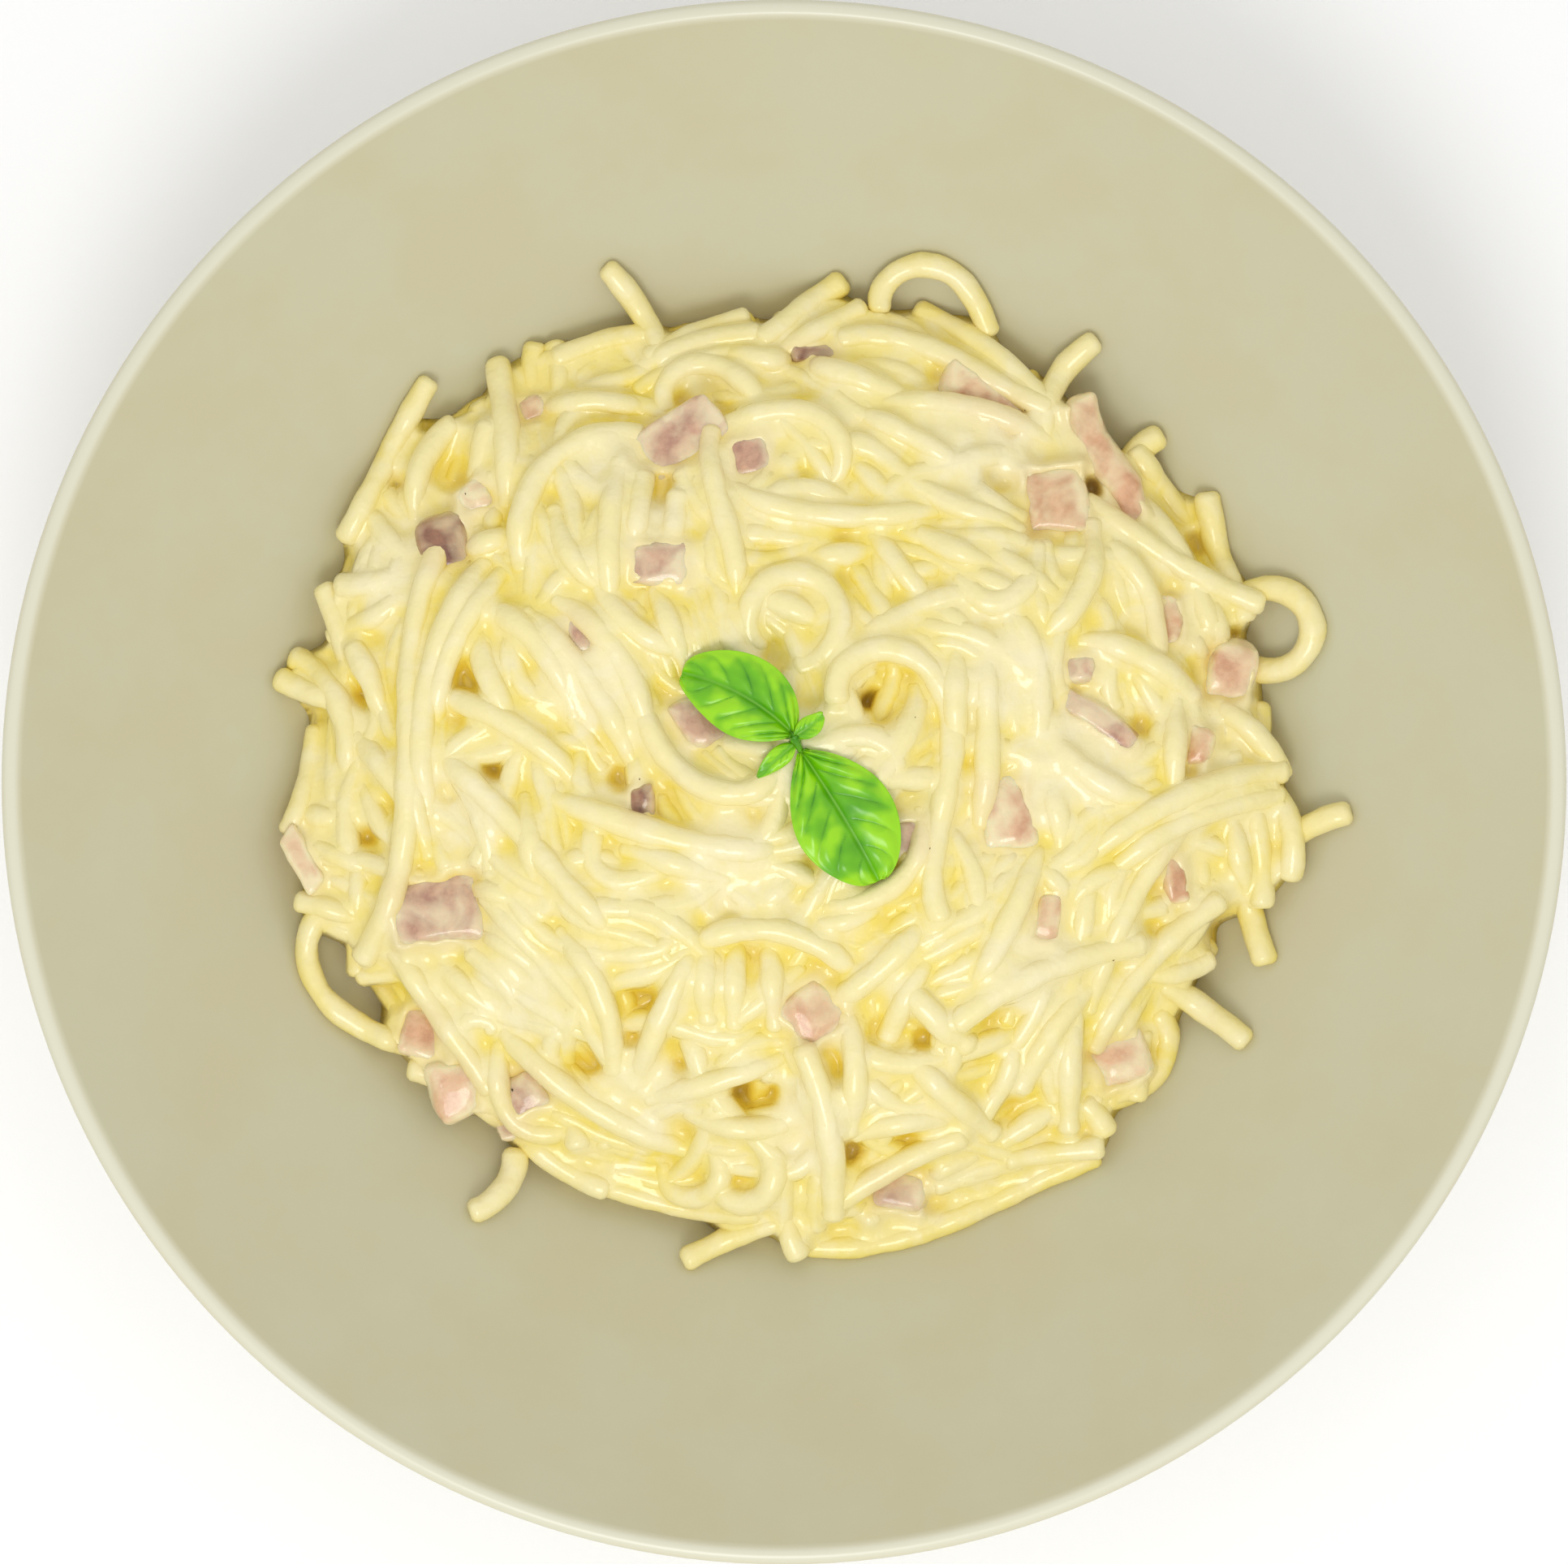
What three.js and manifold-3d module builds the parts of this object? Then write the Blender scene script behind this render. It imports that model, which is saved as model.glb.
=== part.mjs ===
// Spaghetti carbonara in its one deep glazed bowl: a heap of sauced noodles, ham dice and a basil sprig.
// Millimetres. Origin at the centre of the foot ring's underside, +Z up, +Y towards the top of the plate.
import * as THREE from 'three';
import { mergeVertices } from 'three/addons/utils/BufferGeometryUtils.js';
import Module from 'manifold-3d';

const wasm = await Module();
wasm.setup();

// ---- bowl
const BOWL_RADIUS = 110;
const LIP_RADIUS = 1.5; // the lip is fully rounded
const RIM_Z = 50.5; // height of the lip's centre, so the bowl stands 52 high
const FLOOR_Z = 7.5; // top of the eating surface at the centre
const FLOOR_RADIUS = 35; // flat part of the floor
const WALL_RISE = 43.6; // how far the inner face climbs from the floor to the lip
const WALL_RUN = 72; // over this radial distance
const WALL_POWER = 1.6;
const WALL_FOOT = 4.6; // wall thickness above the foot ring
const FOOT_OUTER = 52;
const FOOT_INNER = 46;
const RECESS_Z = 3; // underside inside the foot ring
const BOWL_SIDES = 48;

// ---- heap of noodles
const NOODLE_RADIUS = 1.6; // noodle with its coat of sauce
const NOODLE_SIDES = 5;
const NOODLE_STEP = 5; // length of one straight piece of a noodle
const GAP = 0.35; // clearance between neighbouring pieces
const HEAP_TOP = 38.5; // height of the bare core at the centre
const HEAP_FALL = 3; // how flat the core stays before it drops to its edge
const HEAP_EDGE = 2.2; // thickness of the core at its edge
const LUMP = 1.1; // height of the core's gentle lumps
const HEAP_TOLERANCE = 0.4; // detail finer than this is left out of the fused heap
const CORE_SIDES = 36;
const CORE_RINGS = 8;
// core radius every 15 degrees, anticlockwise from +X
const CORE_RADII = [71.5, 71.5, 71.5, 70, 70.5, 70, 69, 68.5, 70, 72.5, 73, 70,
  70, 71, 68.5, 66.5, 64.5, 63.5, 66, 66, 66.5, 67, 66, 69.5];

// One noodle per row: x, y, heading, length, bend at the start, bend at the end, lift above the core.
// Headings and bends are in degrees; a bend is the turn the whole noodle would make at that curvature.
const NOODLES = [
  [-25.5, 74.3, -44, 15, -30, -25, 0.9], // loose ends and loops round the edge, clockwise from the top
  [13.9, 66, 93, 28, -275, -60, 0.9],
  [61.8, 41.5, -81, 18, 15, 15, 1.2],
  [67.3, 27.5, 28, 24, -205, -250, 0.9],
  [63.1, 11.1, -26, 14, -40, -40, 0.9],
  [81.7, -4.7, -163, 12, 25, 25, 0.9],
  [70.8, -0.8, -51, 13, -50, -55, 1.2],
  [64.3, -4.3, -75, 22, 0, 0, 0.9],
  [67.1, -37.5, 140, 14, 10, 10, 0.9],
  [46.2, -53.3, -175, 13, 5, 5, 1.2],
  [45.6, -55, -160, 44, 40, -95, 0.9],
  [2.2, -69, 118, 8, -30, -30, 1.2],
  [-13.9, -70, 28, 14, -10, -10, 1.2],
  [-26.3, -59.7, 162, 33, -95, 105, 0.9],
  [-68.2, -19.7, -129, 31, 235, -10, 0.9],
  [-73.5, 15, -28, 8, 15, 15, 1.2],
  [-71.3, 18.2, -21, 21, -110, -55, 0.9],
  [-52.2, 58.1, -124, 25, 30, -25, 0.9],
  [7.7, 12.2, 99, 55, -570, 235, 1.6],
  [-4.2, 19.5, 125, 34, -300, -290, 1.2],
  [-37.5, 30.9, 104, 30, -95, -140, 1.2],
  [-49.6, 34.6, -117, 62, 115, -135, 1.2],
  [-40.6, 29.9, -132, 25, 25, 60, 1.2],
  [-22, 59.5, 35, 19, -35, -35, 1.2],
  [-3.1, 64.3, 40, 14, -5, -5, 1.2],
  [20, 68.8, -27, 23, -15, -35, 0.9],
  [-9.4, 51.2, 22, 26, 10, -330, 1.2],
  [-10.5, 50.3, -98, 26, 100, -105, 1.2],
  [44.1, 40.5, -33, 29, -15, 50, 1.2],
  [-49.4, 12.7, -14, 23, -35, -35, 1.2],
  [-33.3, -2.6, -14, 35, -35, 90, 1.2],
  [-21.4, 13.2, -69, 32, 5, 290, 1.2],
  [24.6, 20.2, -90, 16, 0, 0, 1.2],
  [19.7, -4.2, -70, 25, -180, -50, 1.2],
  [72.4, 1.4, -177, 32, 45, 30, 1.2],
  [58.1, -5.5, -129, 31, 20, 35, 1.2],
  [63.1, -17.3, -148, 28, 35, 35, 1.2],
  [24.9, -34.6, 43, 29, -55, -10, 1.6],
  [-32.2, -21.7, -47, 22, -45, -45, 1.2],
  [-13.5, -23.9, 37, 27, -110, -55, 1.2],
  [20.4, -19.6, -127, 19, -20, -30, 1.2],
  [17.9, -39.3, -48, 17, 10, 10, 1.2],
  [2.8, -38.6, -67, 25, -30, -20, 1.6],
  [-17.3, -56.1, -102, 18, 265, 210, 0.9],
];

// ---- ham: x, y, length, width, thickness, turn in degrees, tone
const HAM = [
  [4.1, 62.3, 7.2, 2.6, 5.0, 0, 'dark'],
  [-36.9, 54.4, 4.2, 3.9, 4.0, 20, 'pink'],
  [-14.9, 50.0, 11.6, 7.0, 4.4, 36, 'mauve'],
  [-4.8, 47.2, 5.6, 5.6, 5.4, 12, 'mauve'],
  [28.9, 55.6, 13.6, 5.6, 4.0, -29, 'pink'],
  [46.9, 46.8, 20.0, 4.8, 4.6, -62, 'pink'],
  [39.4, 41.1, 9.8, 10.8, 6.4, 8, 'pink'],
  [-48.8, 34.6, 6.4, 7.0, 6.0, 10, 'dark'],
  [-45.1, 41.2, 5.2, 5.2, 5.0, 30, 'pale'],
  [-29.5, 21.5, 6.2, 3.2, 4.6, -80, 'mauve'],
  [-17.9, 31.5, 8.0, 5.8, 5.0, 0, 'dark'],
  [56.2, 23.3, 4.0, 7.4, 5.4, 6, 'pink'],
  [64.8, 16.0, 8.0, 9.2, 6.0, -6, 'pale'],
  [45.9, 8.4, 12.4, 3.2, 5.0, -34, 'mauve'],
  [42.6, 16.4, 4.2, 3.8, 4.2, 10, 'mauve'],
  [60.2, 5.1, 3.8, 5.8, 5.0, -12, 'pink'],
  [31.8, -4.6, 7.6, 10.2, 6.6, 4, 'pale'],
  [-20.8, -2.9, 3.6, 5.2, 4.6, 0, 'dark'],
  [-70.2, -11.2, 9.4, 2.8, 3.6, -62, 'pale'],
  [-50.4, -18.7, 13.4, 10.2, 6.0, 6, 'mauve'],
  [4.1, -33.4, 8.2, 8.6, 7.0, 42, 'pale'],
  [-53.2, -36.6, 6.0, 7.4, 5.6, -8, 'pink'],
  [-48.2, -45.1, 7.8, 8.8, 5.6, 14, 'pale'],
  [-37.4, -45.0, 6.6, 6.6, 5.6, 24, 'mauve'],
  [-39.6, -50.8, 5.2, 3.0, 4.4, 12, 'mauve'],
  [37.8, -19.6, 3.6, 7.0, 5.4, -10, 'pink'],
  [49.3, -41.1, 8.6, 7.4, 6.2, 22, 'pale'],
  [16.8, -60.2, 8.4, 6.4, 6.0, -8, 'mauve'],
  [57.0, -14.0, 3.2, 6.8, 5.0, 8, 'pink'],
  [-11.3, 9.2, 8.6, 7.0, 5.4, 24, 'mauve'],
  [17.6, -7.8, 5.6, 5.4, 5.0, 0, 'mauve'],
];
const HAM_PROUD = 2.3; // how far a piece stands out of the core
const HAM_LEAN = 0.3; // a piece's tilt, in radians from one extreme to the other
const HAM_TONES = { pink: 0xdda693, mauve: 0xc3a29c, dark: 0x8d5e5e, pale: 0xe0c4b4 };

// ---- basil: x, y of the leaf's base, heading, length, width, lift at the base, lift at the tip
const LEAVES = [
  [1.3, 6.8, 151, 18.5, 11.6, 1.6, 0.9],
  [2.4, 4.4, -59, 21.7, 14.5, 1.2, 1.0],
  [1.4, 6.4, 28, 5.6, 3.8, 1.9, 3.2],
  [1.6, 5.4, -139, 7.4, 4.4, 1.0, 0.7],
];
const LEAF_THICKNESS = 0.7;
const LEAF_CUP = 0.16; // how far a leaf's halves rise from the midrib, per mm of width
const STEM_AT = [1.6, 6];
const STEM_RADIUS = 1.1;
const STEM_HEIGHT = 1.8;
const BASIL_BASE = 3.7; // height of the sprig's lowest leaves over the bare core

const radians = THREE.MathUtils.degToRad;
const lerp = THREE.MathUtils.lerp;
const smooth = THREE.MathUtils.smoothstep;

/** A repeatable stream of numbers from 0 to 1. */
function seeded(seed) {
  let state = seed;
  return () => {
    state = (state * 1664525 + 1013904223) % 4294967296;
    return state / 4294967296;
  };
}

/** Height of the bowl's inner face at radius r. */
function bowlInside(r) {
  return r <= FLOOR_RADIUS ? FLOOR_Z : FLOOR_Z + WALL_RISE * ((r - FLOOR_RADIUS) / WALL_RUN) ** WALL_POWER;
}

/** Slope of the inner face at radius r, as an angle from level. */
function bowlSlope(r) {
  return Math.atan((bowlInside(r + 0.05) - bowlInside(r - 0.05)) / 0.1);
}

/** Radius of the core in direction angle, blended between the stated radii. */
function coreRadius(angle) {
  const count = CORE_RADII.length;
  const at = (((angle / (2 * Math.PI)) * count) % count + count) % count;
  const low = Math.floor(at);
  const blend = (1 - Math.cos(Math.PI * (at - low))) / 2;
  return lerp(CORE_RADII[low], CORE_RADII[(low + 1) % count], blend);
}

/** How far out a point lies on the core, from 0 at the centre to 1 at its edge. */
function coreShare(x, y) {
  return Math.hypot(x, y) / coreRadius(Math.atan2(y, x));
}

/** Height of the bare core's top at a point, with its gentle lumps; beyond the core it follows the bowl. */
function coreTop(x, y) {
  const share = Math.min(1, coreShare(x, y));
  const edge = bowlInside(Math.max(Math.hypot(x, y), coreRadius(Math.atan2(y, x)))) + HEAP_EDGE;
  const lumps = Math.sin(x / 8.5 + 0.6) * Math.cos(y / 9.5 - 0.4) + 0.6 * Math.sin((x - 1.4 * y) / 12 + 1.9);
  return lerp(HEAP_TOP, edge, share ** HEAP_FALL) + LUMP * lumps * (1 - share ** 4);
}

/** A lathed solid about +Z from a list of [radius, height] points. */
function lathe(profile, sides) {
  const geometry = new THREE.LatheGeometry(profile.map(([r, z]) => new THREE.Vector2(r, z)), sides);
  return geometry.rotateX(Math.PI / 2);
}

/** Welded copy of a geometry with positions alone, turned outward if it came out inside out. */
function welded(geometry) {
  const plain = geometry.clone();
  plain.deleteAttribute('normal');
  plain.deleteAttribute('uv');
  const joined = mergeVertices(plain, 1e-4);
  const index = joined.index.array;
  const spots = joined.attributes.position;
  const [a, b, c] = [new THREE.Vector3(), new THREE.Vector3(), new THREE.Vector3()];
  const kept = [];
  let volume = 0;
  for (let i = 0; i < index.length; i += 3) {
    if (index[i] === index[i + 1] || index[i + 1] === index[i + 2] || index[i + 2] === index[i]) continue;
    a.fromBufferAttribute(spots, index[i]);
    b.fromBufferAttribute(spots, index[i + 1]);
    c.fromBufferAttribute(spots, index[i + 2]);
    volume += a.dot(b.cross(c));
    kept.push(index[i], index[i + 1], index[i + 2]);
  }
  if (volume < 0) kept.reverse();
  joined.setIndex(kept);
  return joined;
}

/** The solid of a closed geometry. */
function solidOf(geometry) {
  const body = welded(geometry);
  return new wasm.Manifold(new wasm.Mesh({
    numProp: 3,
    vertProperties: new Float32Array(body.attributes.position.array),
    triVerts: new Uint32Array(body.index.array),
  }));
}

/** The geometry of a solid's largest body: loose scraps and closed hollows are left out. */
function geometryOf(solid) {
  const bodies = solid.decompose().sort((one, other) => other.volume() - one.volume());
  const mesh = bodies[0].getMesh();
  const geometry = new THREE.BufferGeometry();
  geometry.setAttribute('position', new THREE.BufferAttribute(mesh.vertProperties, 3));
  geometry.setIndex(new THREE.BufferAttribute(mesh.triVerts, 1));
  geometry.computeVertexNormals();
  return geometry;
}

/** A closed body from a grid of rows of points, joined round each row and capped at both ends. */
function skin(rows, first, last) {
  const width = rows[0].length;
  const spots = rows.flat().concat([first, last]);
  const faces = [];
  for (let row = 0; row + 1 < rows.length; row += 1) {
    for (let i = 0; i < width; i += 1) {
      const [a, b] = [row * width + i, row * width + ((i + 1) % width)];
      faces.push(a, b, b + width, a, b + width, a + width);
    }
  }
  const end = (rows.length - 1) * width;
  for (let i = 0; i < width; i += 1) {
    const next = (i + 1) % width;
    faces.push(next, i, spots.length - 2, end + i, end + next, spots.length - 1);
  }
  const geometry = new THREE.BufferGeometry();
  geometry.setAttribute('position', new THREE.Float32BufferAttribute(spots.flatMap((p) => p.toArray()), 3));
  geometry.setIndex(faces);
  return geometry;
}

/** The bowl: foot ring, rounded wall and lip, turned from one closed profile. */
function bowlGeometry() {
  const profile = [[0, RECESS_Z], [FOOT_INNER - 1.6, RECESS_Z], [FOOT_INNER, 0.7], [FOOT_INNER + 0.7, 0]];
  profile.push([FOOT_OUTER - 0.7, 0], [FOOT_OUTER, 0.7], [FOOT_OUTER + 0.6, 5.6]);
  const lipCentre = BOWL_RADIUS - LIP_RADIUS;
  const lipInner = lipCentre - LIP_RADIUS * Math.sin(bowlSlope(107.4));
  for (let i = 0; i <= 4; i += 1) {
    const r = lerp(FOOT_OUTER + 2, lipInner, i / 4);
    const thick = lerp(WALL_FOOT, 2 * LIP_RADIUS, i / 4);
    profile.push([r + thick * Math.sin(bowlSlope(r)), bowlInside(r) - thick * Math.cos(bowlSlope(r))]);
  }
  for (let i = 1; i < 5; i += 1) {
    const turn = bowlSlope(107.4) - Math.PI / 2 + (Math.PI * i) / 5;
    profile.push([lipCentre + LIP_RADIUS * Math.cos(turn), RIM_Z + LIP_RADIUS * Math.sin(turn)]);
  }
  for (let i = 0; i <= 7; i += 1) {
    const r = lerp(lipInner, FLOOR_RADIUS, i / 7);
    profile.push([r, bowlInside(r)]);
  }
  profile.push([0, FLOOR_Z]);
  return lathe(profile, BOWL_SIDES);
}

/** Everything the heap must stay clear of under it: the space below the inner face, grown by the gap. */
function bowlKeepOut() {
  const profile = [[0, -5], [120, -5], [120, bowlInside(112) + GAP]];
  for (let i = 0; i <= 12; i += 1) {
    const r = lerp(112, FLOOR_RADIUS, i / 12);
    profile.push([r, bowlInside(r) + GAP / Math.cos(bowlSlope(r))]);
  }
  profile.push([0, FLOOR_Z + GAP]);
  return lathe(profile, BOWL_SIDES);
}

/** The smaller core of the heap: a lumpy dome whose underside follows the bowl. */
function coreGeometry() {
  const rows = [];
  const spot = (share, angle, under) => {
    const r = share * coreRadius(angle);
    const [x, y] = [r * Math.cos(angle), r * Math.sin(angle)];
    return new THREE.Vector3(x, y, under ? bowlInside(r) : coreTop(x, y));
  };
  const ring = (share, under) => Array.from({ length: CORE_SIDES }, (_, i) => (
    spot(share, (2 * Math.PI * i) / CORE_SIDES, under)
  ));
  for (let i = 1; i <= CORE_RINGS; i += 1) rows.push(ring(Math.sqrt(i / CORE_RINGS), false));
  for (const share of [0.99, 0.75, 0.5]) rows.push(ring(share, true));
  return skin(rows, spot(0, 0, false), spot(0, 0, true));
}

/** Points of one noodle's centre line, laid over the core or the bowl's wall, whichever is higher. */
function noodleLine([x, y, heading, length, bendStart, bendEnd, lift]) {
  const bend = Math.abs(bendStart) + Math.abs(bendEnd);
  const steps = Math.max(3, Math.round(Math.max(length / NOODLE_STEP, bend / 70)));
  const line = [];
  let [px, py] = [x, y];
  for (let i = 0; i <= steps; i += 1) {
    const share = i / steps;
    const reach = Math.hypot(px, py);
    const wall = bowlInside(reach) + (NOODLE_RADIUS + GAP) / Math.cos(bowlSlope(reach));
    const rise = (lift + HEAP_EDGE) * smooth(1.06 - coreShare(px, py), 0, 0.16) - HEAP_EDGE;
    line.push(new THREE.Vector3(px, py, Math.max(wall, coreTop(px, py) + rise)));
    const middle = share + 0.5 / steps;
    const turn = radians(heading + bendStart * middle + ((bendEnd - bendStart) * middle * middle) / 2);
    px += (length / steps) * Math.cos(turn);
    py += (length / steps) * Math.sin(turn);
  }
  return line;
}

/** A noodle along a centre line, with flat cut ends. */
function noodleGeometry(line) {
  const rows = [];
  const side = new THREE.Vector3(0, 0, 1);
  line.forEach((point, i) => {
    const along = line[Math.min(i + 1, line.length - 1)].clone().sub(line[Math.max(i - 1, 0)]).normalize();
    side.addScaledVector(along, -along.dot(side)).normalize();
    const other = new THREE.Vector3().crossVectors(along, side);
    rows.push(Array.from({ length: NOODLE_SIDES }, (_, k) => {
      const turn = (2 * Math.PI * k) / NOODLE_SIDES;
      return point.clone().addScaledVector(side, NOODLE_RADIUS * Math.cos(turn))
        .addScaledVector(other, NOODLE_RADIUS * Math.sin(turn));
    }));
  });
  return skin(rows, line[0], line[line.length - 1]);
}

/** A cut cube of ham: a box with worn corners and uneven faces, grown all round by extra. */
function hamGeometry([x, y, length, width, thick, turn], number, extra) {
  const random = seeded(number * 77 + 5);
  const body = welded(new THREE.BoxGeometry(2, 2, 2, 2, 2, 2));
  const spots = body.attributes.position;
  const point = new THREE.Vector3();
  for (let i = 0; i < spots.count; i += 1) {
    point.fromBufferAttribute(spots, i);
    const edges = Math.abs(point.x) + Math.abs(point.y) + Math.abs(point.z);
    const worn = [1, 1, 0.9, 0.8][Math.round(edges)];
    const uneven = () => 1 + 0.12 * (random() - 0.5);
    point.set(point.x * worn * uneven(), point.y * worn * uneven(), point.z * worn * uneven());
    point.multiply(new THREE.Vector3(length / 2 + extra, width / 2 + extra, thick / 2 + extra));
    spots.setXYZ(i, point.x, point.y, point.z);
  }
  const lean = () => HAM_LEAN * (random() - 0.5);
  body.rotateZ(radians(turn)).rotateX(lean()).rotateY(lean());
  const resting = bowlInside(Math.hypot(x, y) + Math.max(length, width) / 2) + thick / 2 + 2 * GAP;
  return body.translate(x, y, Math.max(coreTop(x, y) + HAM_PROUD - thick / 2, resting));
}

/** A thin wavy leaf: an upper and a lower face split alike, joined round the edge. */
function leafGeometry([x, y, heading, length, width, liftBase, liftTip]) {
  const [along, across] = length > 10 ? [8, 6] : [5, 4];
  const rows = [];
  const spot = (share, side, face) => {
    const half = (width / 2) * Math.sin(Math.PI * share ** 0.85) ** 0.75 + 0.25;
    const [u, v] = [share * length, side * half];
    const turn = radians(heading);
    const px = x + u * Math.cos(turn) - v * Math.sin(turn);
    const py = y + u * Math.sin(turn) + v * Math.cos(turn);
    const wave = 0.35 * Math.sin(5.5 * share + 1.5 * side) * Math.abs(side);
    const lift = lerp(liftBase, liftTip, share) + LEAF_CUP * Math.abs(v) + wave;
    const skinned = face * (LEAF_THICKNESS / 2) * (1 - 0.4 * Math.abs(side));
    return new THREE.Vector3(px, py, sprigBase(px, py) + lift + skinned);
  };
  for (let i = 0; i <= along; i += 1) {
    const share = lerp(0.03, 0.985, i / along);
    const row = [];
    for (let k = 0; k <= across; k += 1) row.push(spot(share, (2 * k) / across - 1, 1));
    for (let k = across; k >= 0; k -= 1) row.push(spot(share, (2 * k) / across - 1, -1));
    rows.push(row);
  }
  return skin(rows, spot(0.01, 0, 0), spot(0.998, 0, 0));
}

/** Smooth level the sprig lies on: the core's dome without its small lumps. */
function sprigBase(x, y) {
  const r = Math.hypot(x, y);
  return HEAP_TOP + BASIL_BASE + 0.4 - 0.0045 * r * r;
}

/** Longest run of a noodle's points that keeps clear of every piece of ham. */
function clearRun(line) {
  const near = (point) => HAM.some(([x, y, length, width, , turn]) => {
    const [dx, dy, angle] = [point.x - x, point.y - y, radians(turn)];
    const u = dx * Math.cos(angle) + dy * Math.sin(angle);
    const v = -dx * Math.sin(angle) + dy * Math.cos(angle);
    const room = NOODLE_RADIUS + 0.2;
    return Math.abs(u) < length / 2 + room && Math.abs(v) < width / 2 + room;
  });
  let [best, run] = [[], []];
  for (const point of line) {
    run = near(point) ? [] : [...run, point];
    if (run.length > best.length) best = run;
  }
  return best;
}

/** The heap: noodles fused on the core, with the bowl's space and a pocket for each piece of ham cut away. */
function heapGeometry() {
  const lines = NOODLES.map((row) => clearRun(noodleLine(row))).filter((line) => line.length >= 3);
  const noodles = wasm.Manifold.union(lines.map((line) => solidOf(noodleGeometry(line))));
  const pockets = HAM.map((piece, i) => solidOf(hamGeometry(piece, i + 1, GAP + 0.1)));
  const cut = wasm.Manifold.union([solidOf(bowlKeepOut()), ...pockets]);
  return geometryOf(solidOf(coreGeometry()).add(noodles).subtract(cut).simplify(HEAP_TOLERANCE));
}

/** The basil sprig: four leaves joined on a short stem. */
function sprigGeometry() {
  const [x, y] = STEM_AT;
  const stem = new THREE.CylinderGeometry(STEM_RADIUS, STEM_RADIUS, STEM_HEIGHT, 8).rotateX(Math.PI / 2);
  stem.translate(x, y, sprigBase(x, y) + 1.2);
  const leaves = LEAVES.map((leaf) => solidOf(leafGeometry(leaf)));
  return geometryOf(wasm.Manifold.union([solidOf(stem), ...leaves]));
}

const group = new THREE.Group();

/** Adds one named part to the group. */
function addPart(name, geometry, colour, roughness) {
  const finish = new THREE.MeshStandardMaterial({ color: colour, roughness, metalness: 0 });
  const mesh = new THREE.Mesh(geometry, finish);
  mesh.name = name;
  group.add(mesh);
}

addPart('bowl', welded(bowlGeometry()), 0xcbc4a4, 0.25);
addPart('spaghetti', heapGeometry(), 0xefe0a6, 0.45);
HAM.forEach((piece, i) => {
  addPart(`ham_${String(i + 1).padStart(2, '0')}`, hamGeometry(piece, i + 1, 0), HAM_TONES[piece[6]], 0.5);
});
addPart('basil_sprig', sprigGeometry(), 0x4caa2b, 0.4);

export default group;
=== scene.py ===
"""Spaghetti carbonara in a deep stoneware plate, dressed over its fixed frame.

Sizes are millimetres in the object's own frame: the origin is at the centre of the foot ring's
underside, +Z is up and +Y runs towards the top of the plate. A finished mesh is in metres.
"""

import logging
import math
from dataclasses import dataclass, replace
from enum import Enum
from typing import Iterable, Iterator

import bmesh
import bpy
import numpy as np
from mathutils import Matrix, Vector, noise


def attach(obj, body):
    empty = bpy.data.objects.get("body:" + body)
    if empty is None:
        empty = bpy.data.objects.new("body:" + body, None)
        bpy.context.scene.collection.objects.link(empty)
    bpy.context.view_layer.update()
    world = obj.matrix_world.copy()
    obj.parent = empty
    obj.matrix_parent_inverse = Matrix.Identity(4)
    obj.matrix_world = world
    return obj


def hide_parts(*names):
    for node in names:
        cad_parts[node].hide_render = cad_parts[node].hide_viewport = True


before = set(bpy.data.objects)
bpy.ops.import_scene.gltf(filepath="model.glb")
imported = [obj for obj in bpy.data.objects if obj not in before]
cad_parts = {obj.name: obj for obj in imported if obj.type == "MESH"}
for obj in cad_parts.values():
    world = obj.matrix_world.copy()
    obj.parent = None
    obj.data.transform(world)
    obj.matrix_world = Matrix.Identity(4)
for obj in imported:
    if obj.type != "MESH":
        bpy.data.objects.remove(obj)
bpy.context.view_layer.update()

LOG = logging.getLogger("carbonara")
MM = 0.001
ROOT = "root"
Array = np.ndarray
BMesh = bmesh.types.BMesh
Material = bpy.types.Material
Piece = bpy.types.Object


class Slot(Enum):
    """Names of the material slots, which nothing in this script uses."""

    STONEWARE = "stoneware"
    PASTA = "sauced_pasta"
    HAM = "cooked_ham"
    BASIL = "basil_leaf"


class Tier(Enum):
    """Where in the heap a noodle lies, from the plate upwards."""

    PLATE = 0
    LOW = 1
    HIGH = 2
    TOP = 3


class HamTone(Enum):
    """How each piece of ham looks: lean meat, how much sauce clings, and for the dark one painted shade."""

    PINK = "pink"
    MAUVE = "mauve"
    # painted shade: the ham's meat painted darker, for pieces that sit in the heap's shaded hollows
    SHADED = "dark"
    PALE = "pale"


# ---- helpers


def linear(code: str) -> tuple[float, float, float, float]:
    """Turns an sRGB hex colour to linear light.

    Args:
        code: Six hex digits, such as "cbc4a4".

    Returns:
        Linear red, green and blue, and an alpha of 1.
    """
    parts = [int(code[i : i + 2], 16) / 255 for i in (0, 2, 4)]
    red, green, blue = [c / 12.92 if c <= 0.04045 else ((c + 0.055) / 1.055) ** 2.4 for c in parts]
    return red, green, blue, 1.0


def per_metre(size_mm: float) -> float:
    """Scale of a texture node whose features are that many millimetres apart."""
    return 1 / (size_mm * MM)


def smooth(value: Array | float, low: float, high: float) -> Array | float:
    """Smooth step from 0 at low to 1 at high."""
    share = np.clip((value - low) / (high - low), 0.0, 1.0)
    return share * share * (3 - 2 * share)


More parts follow.
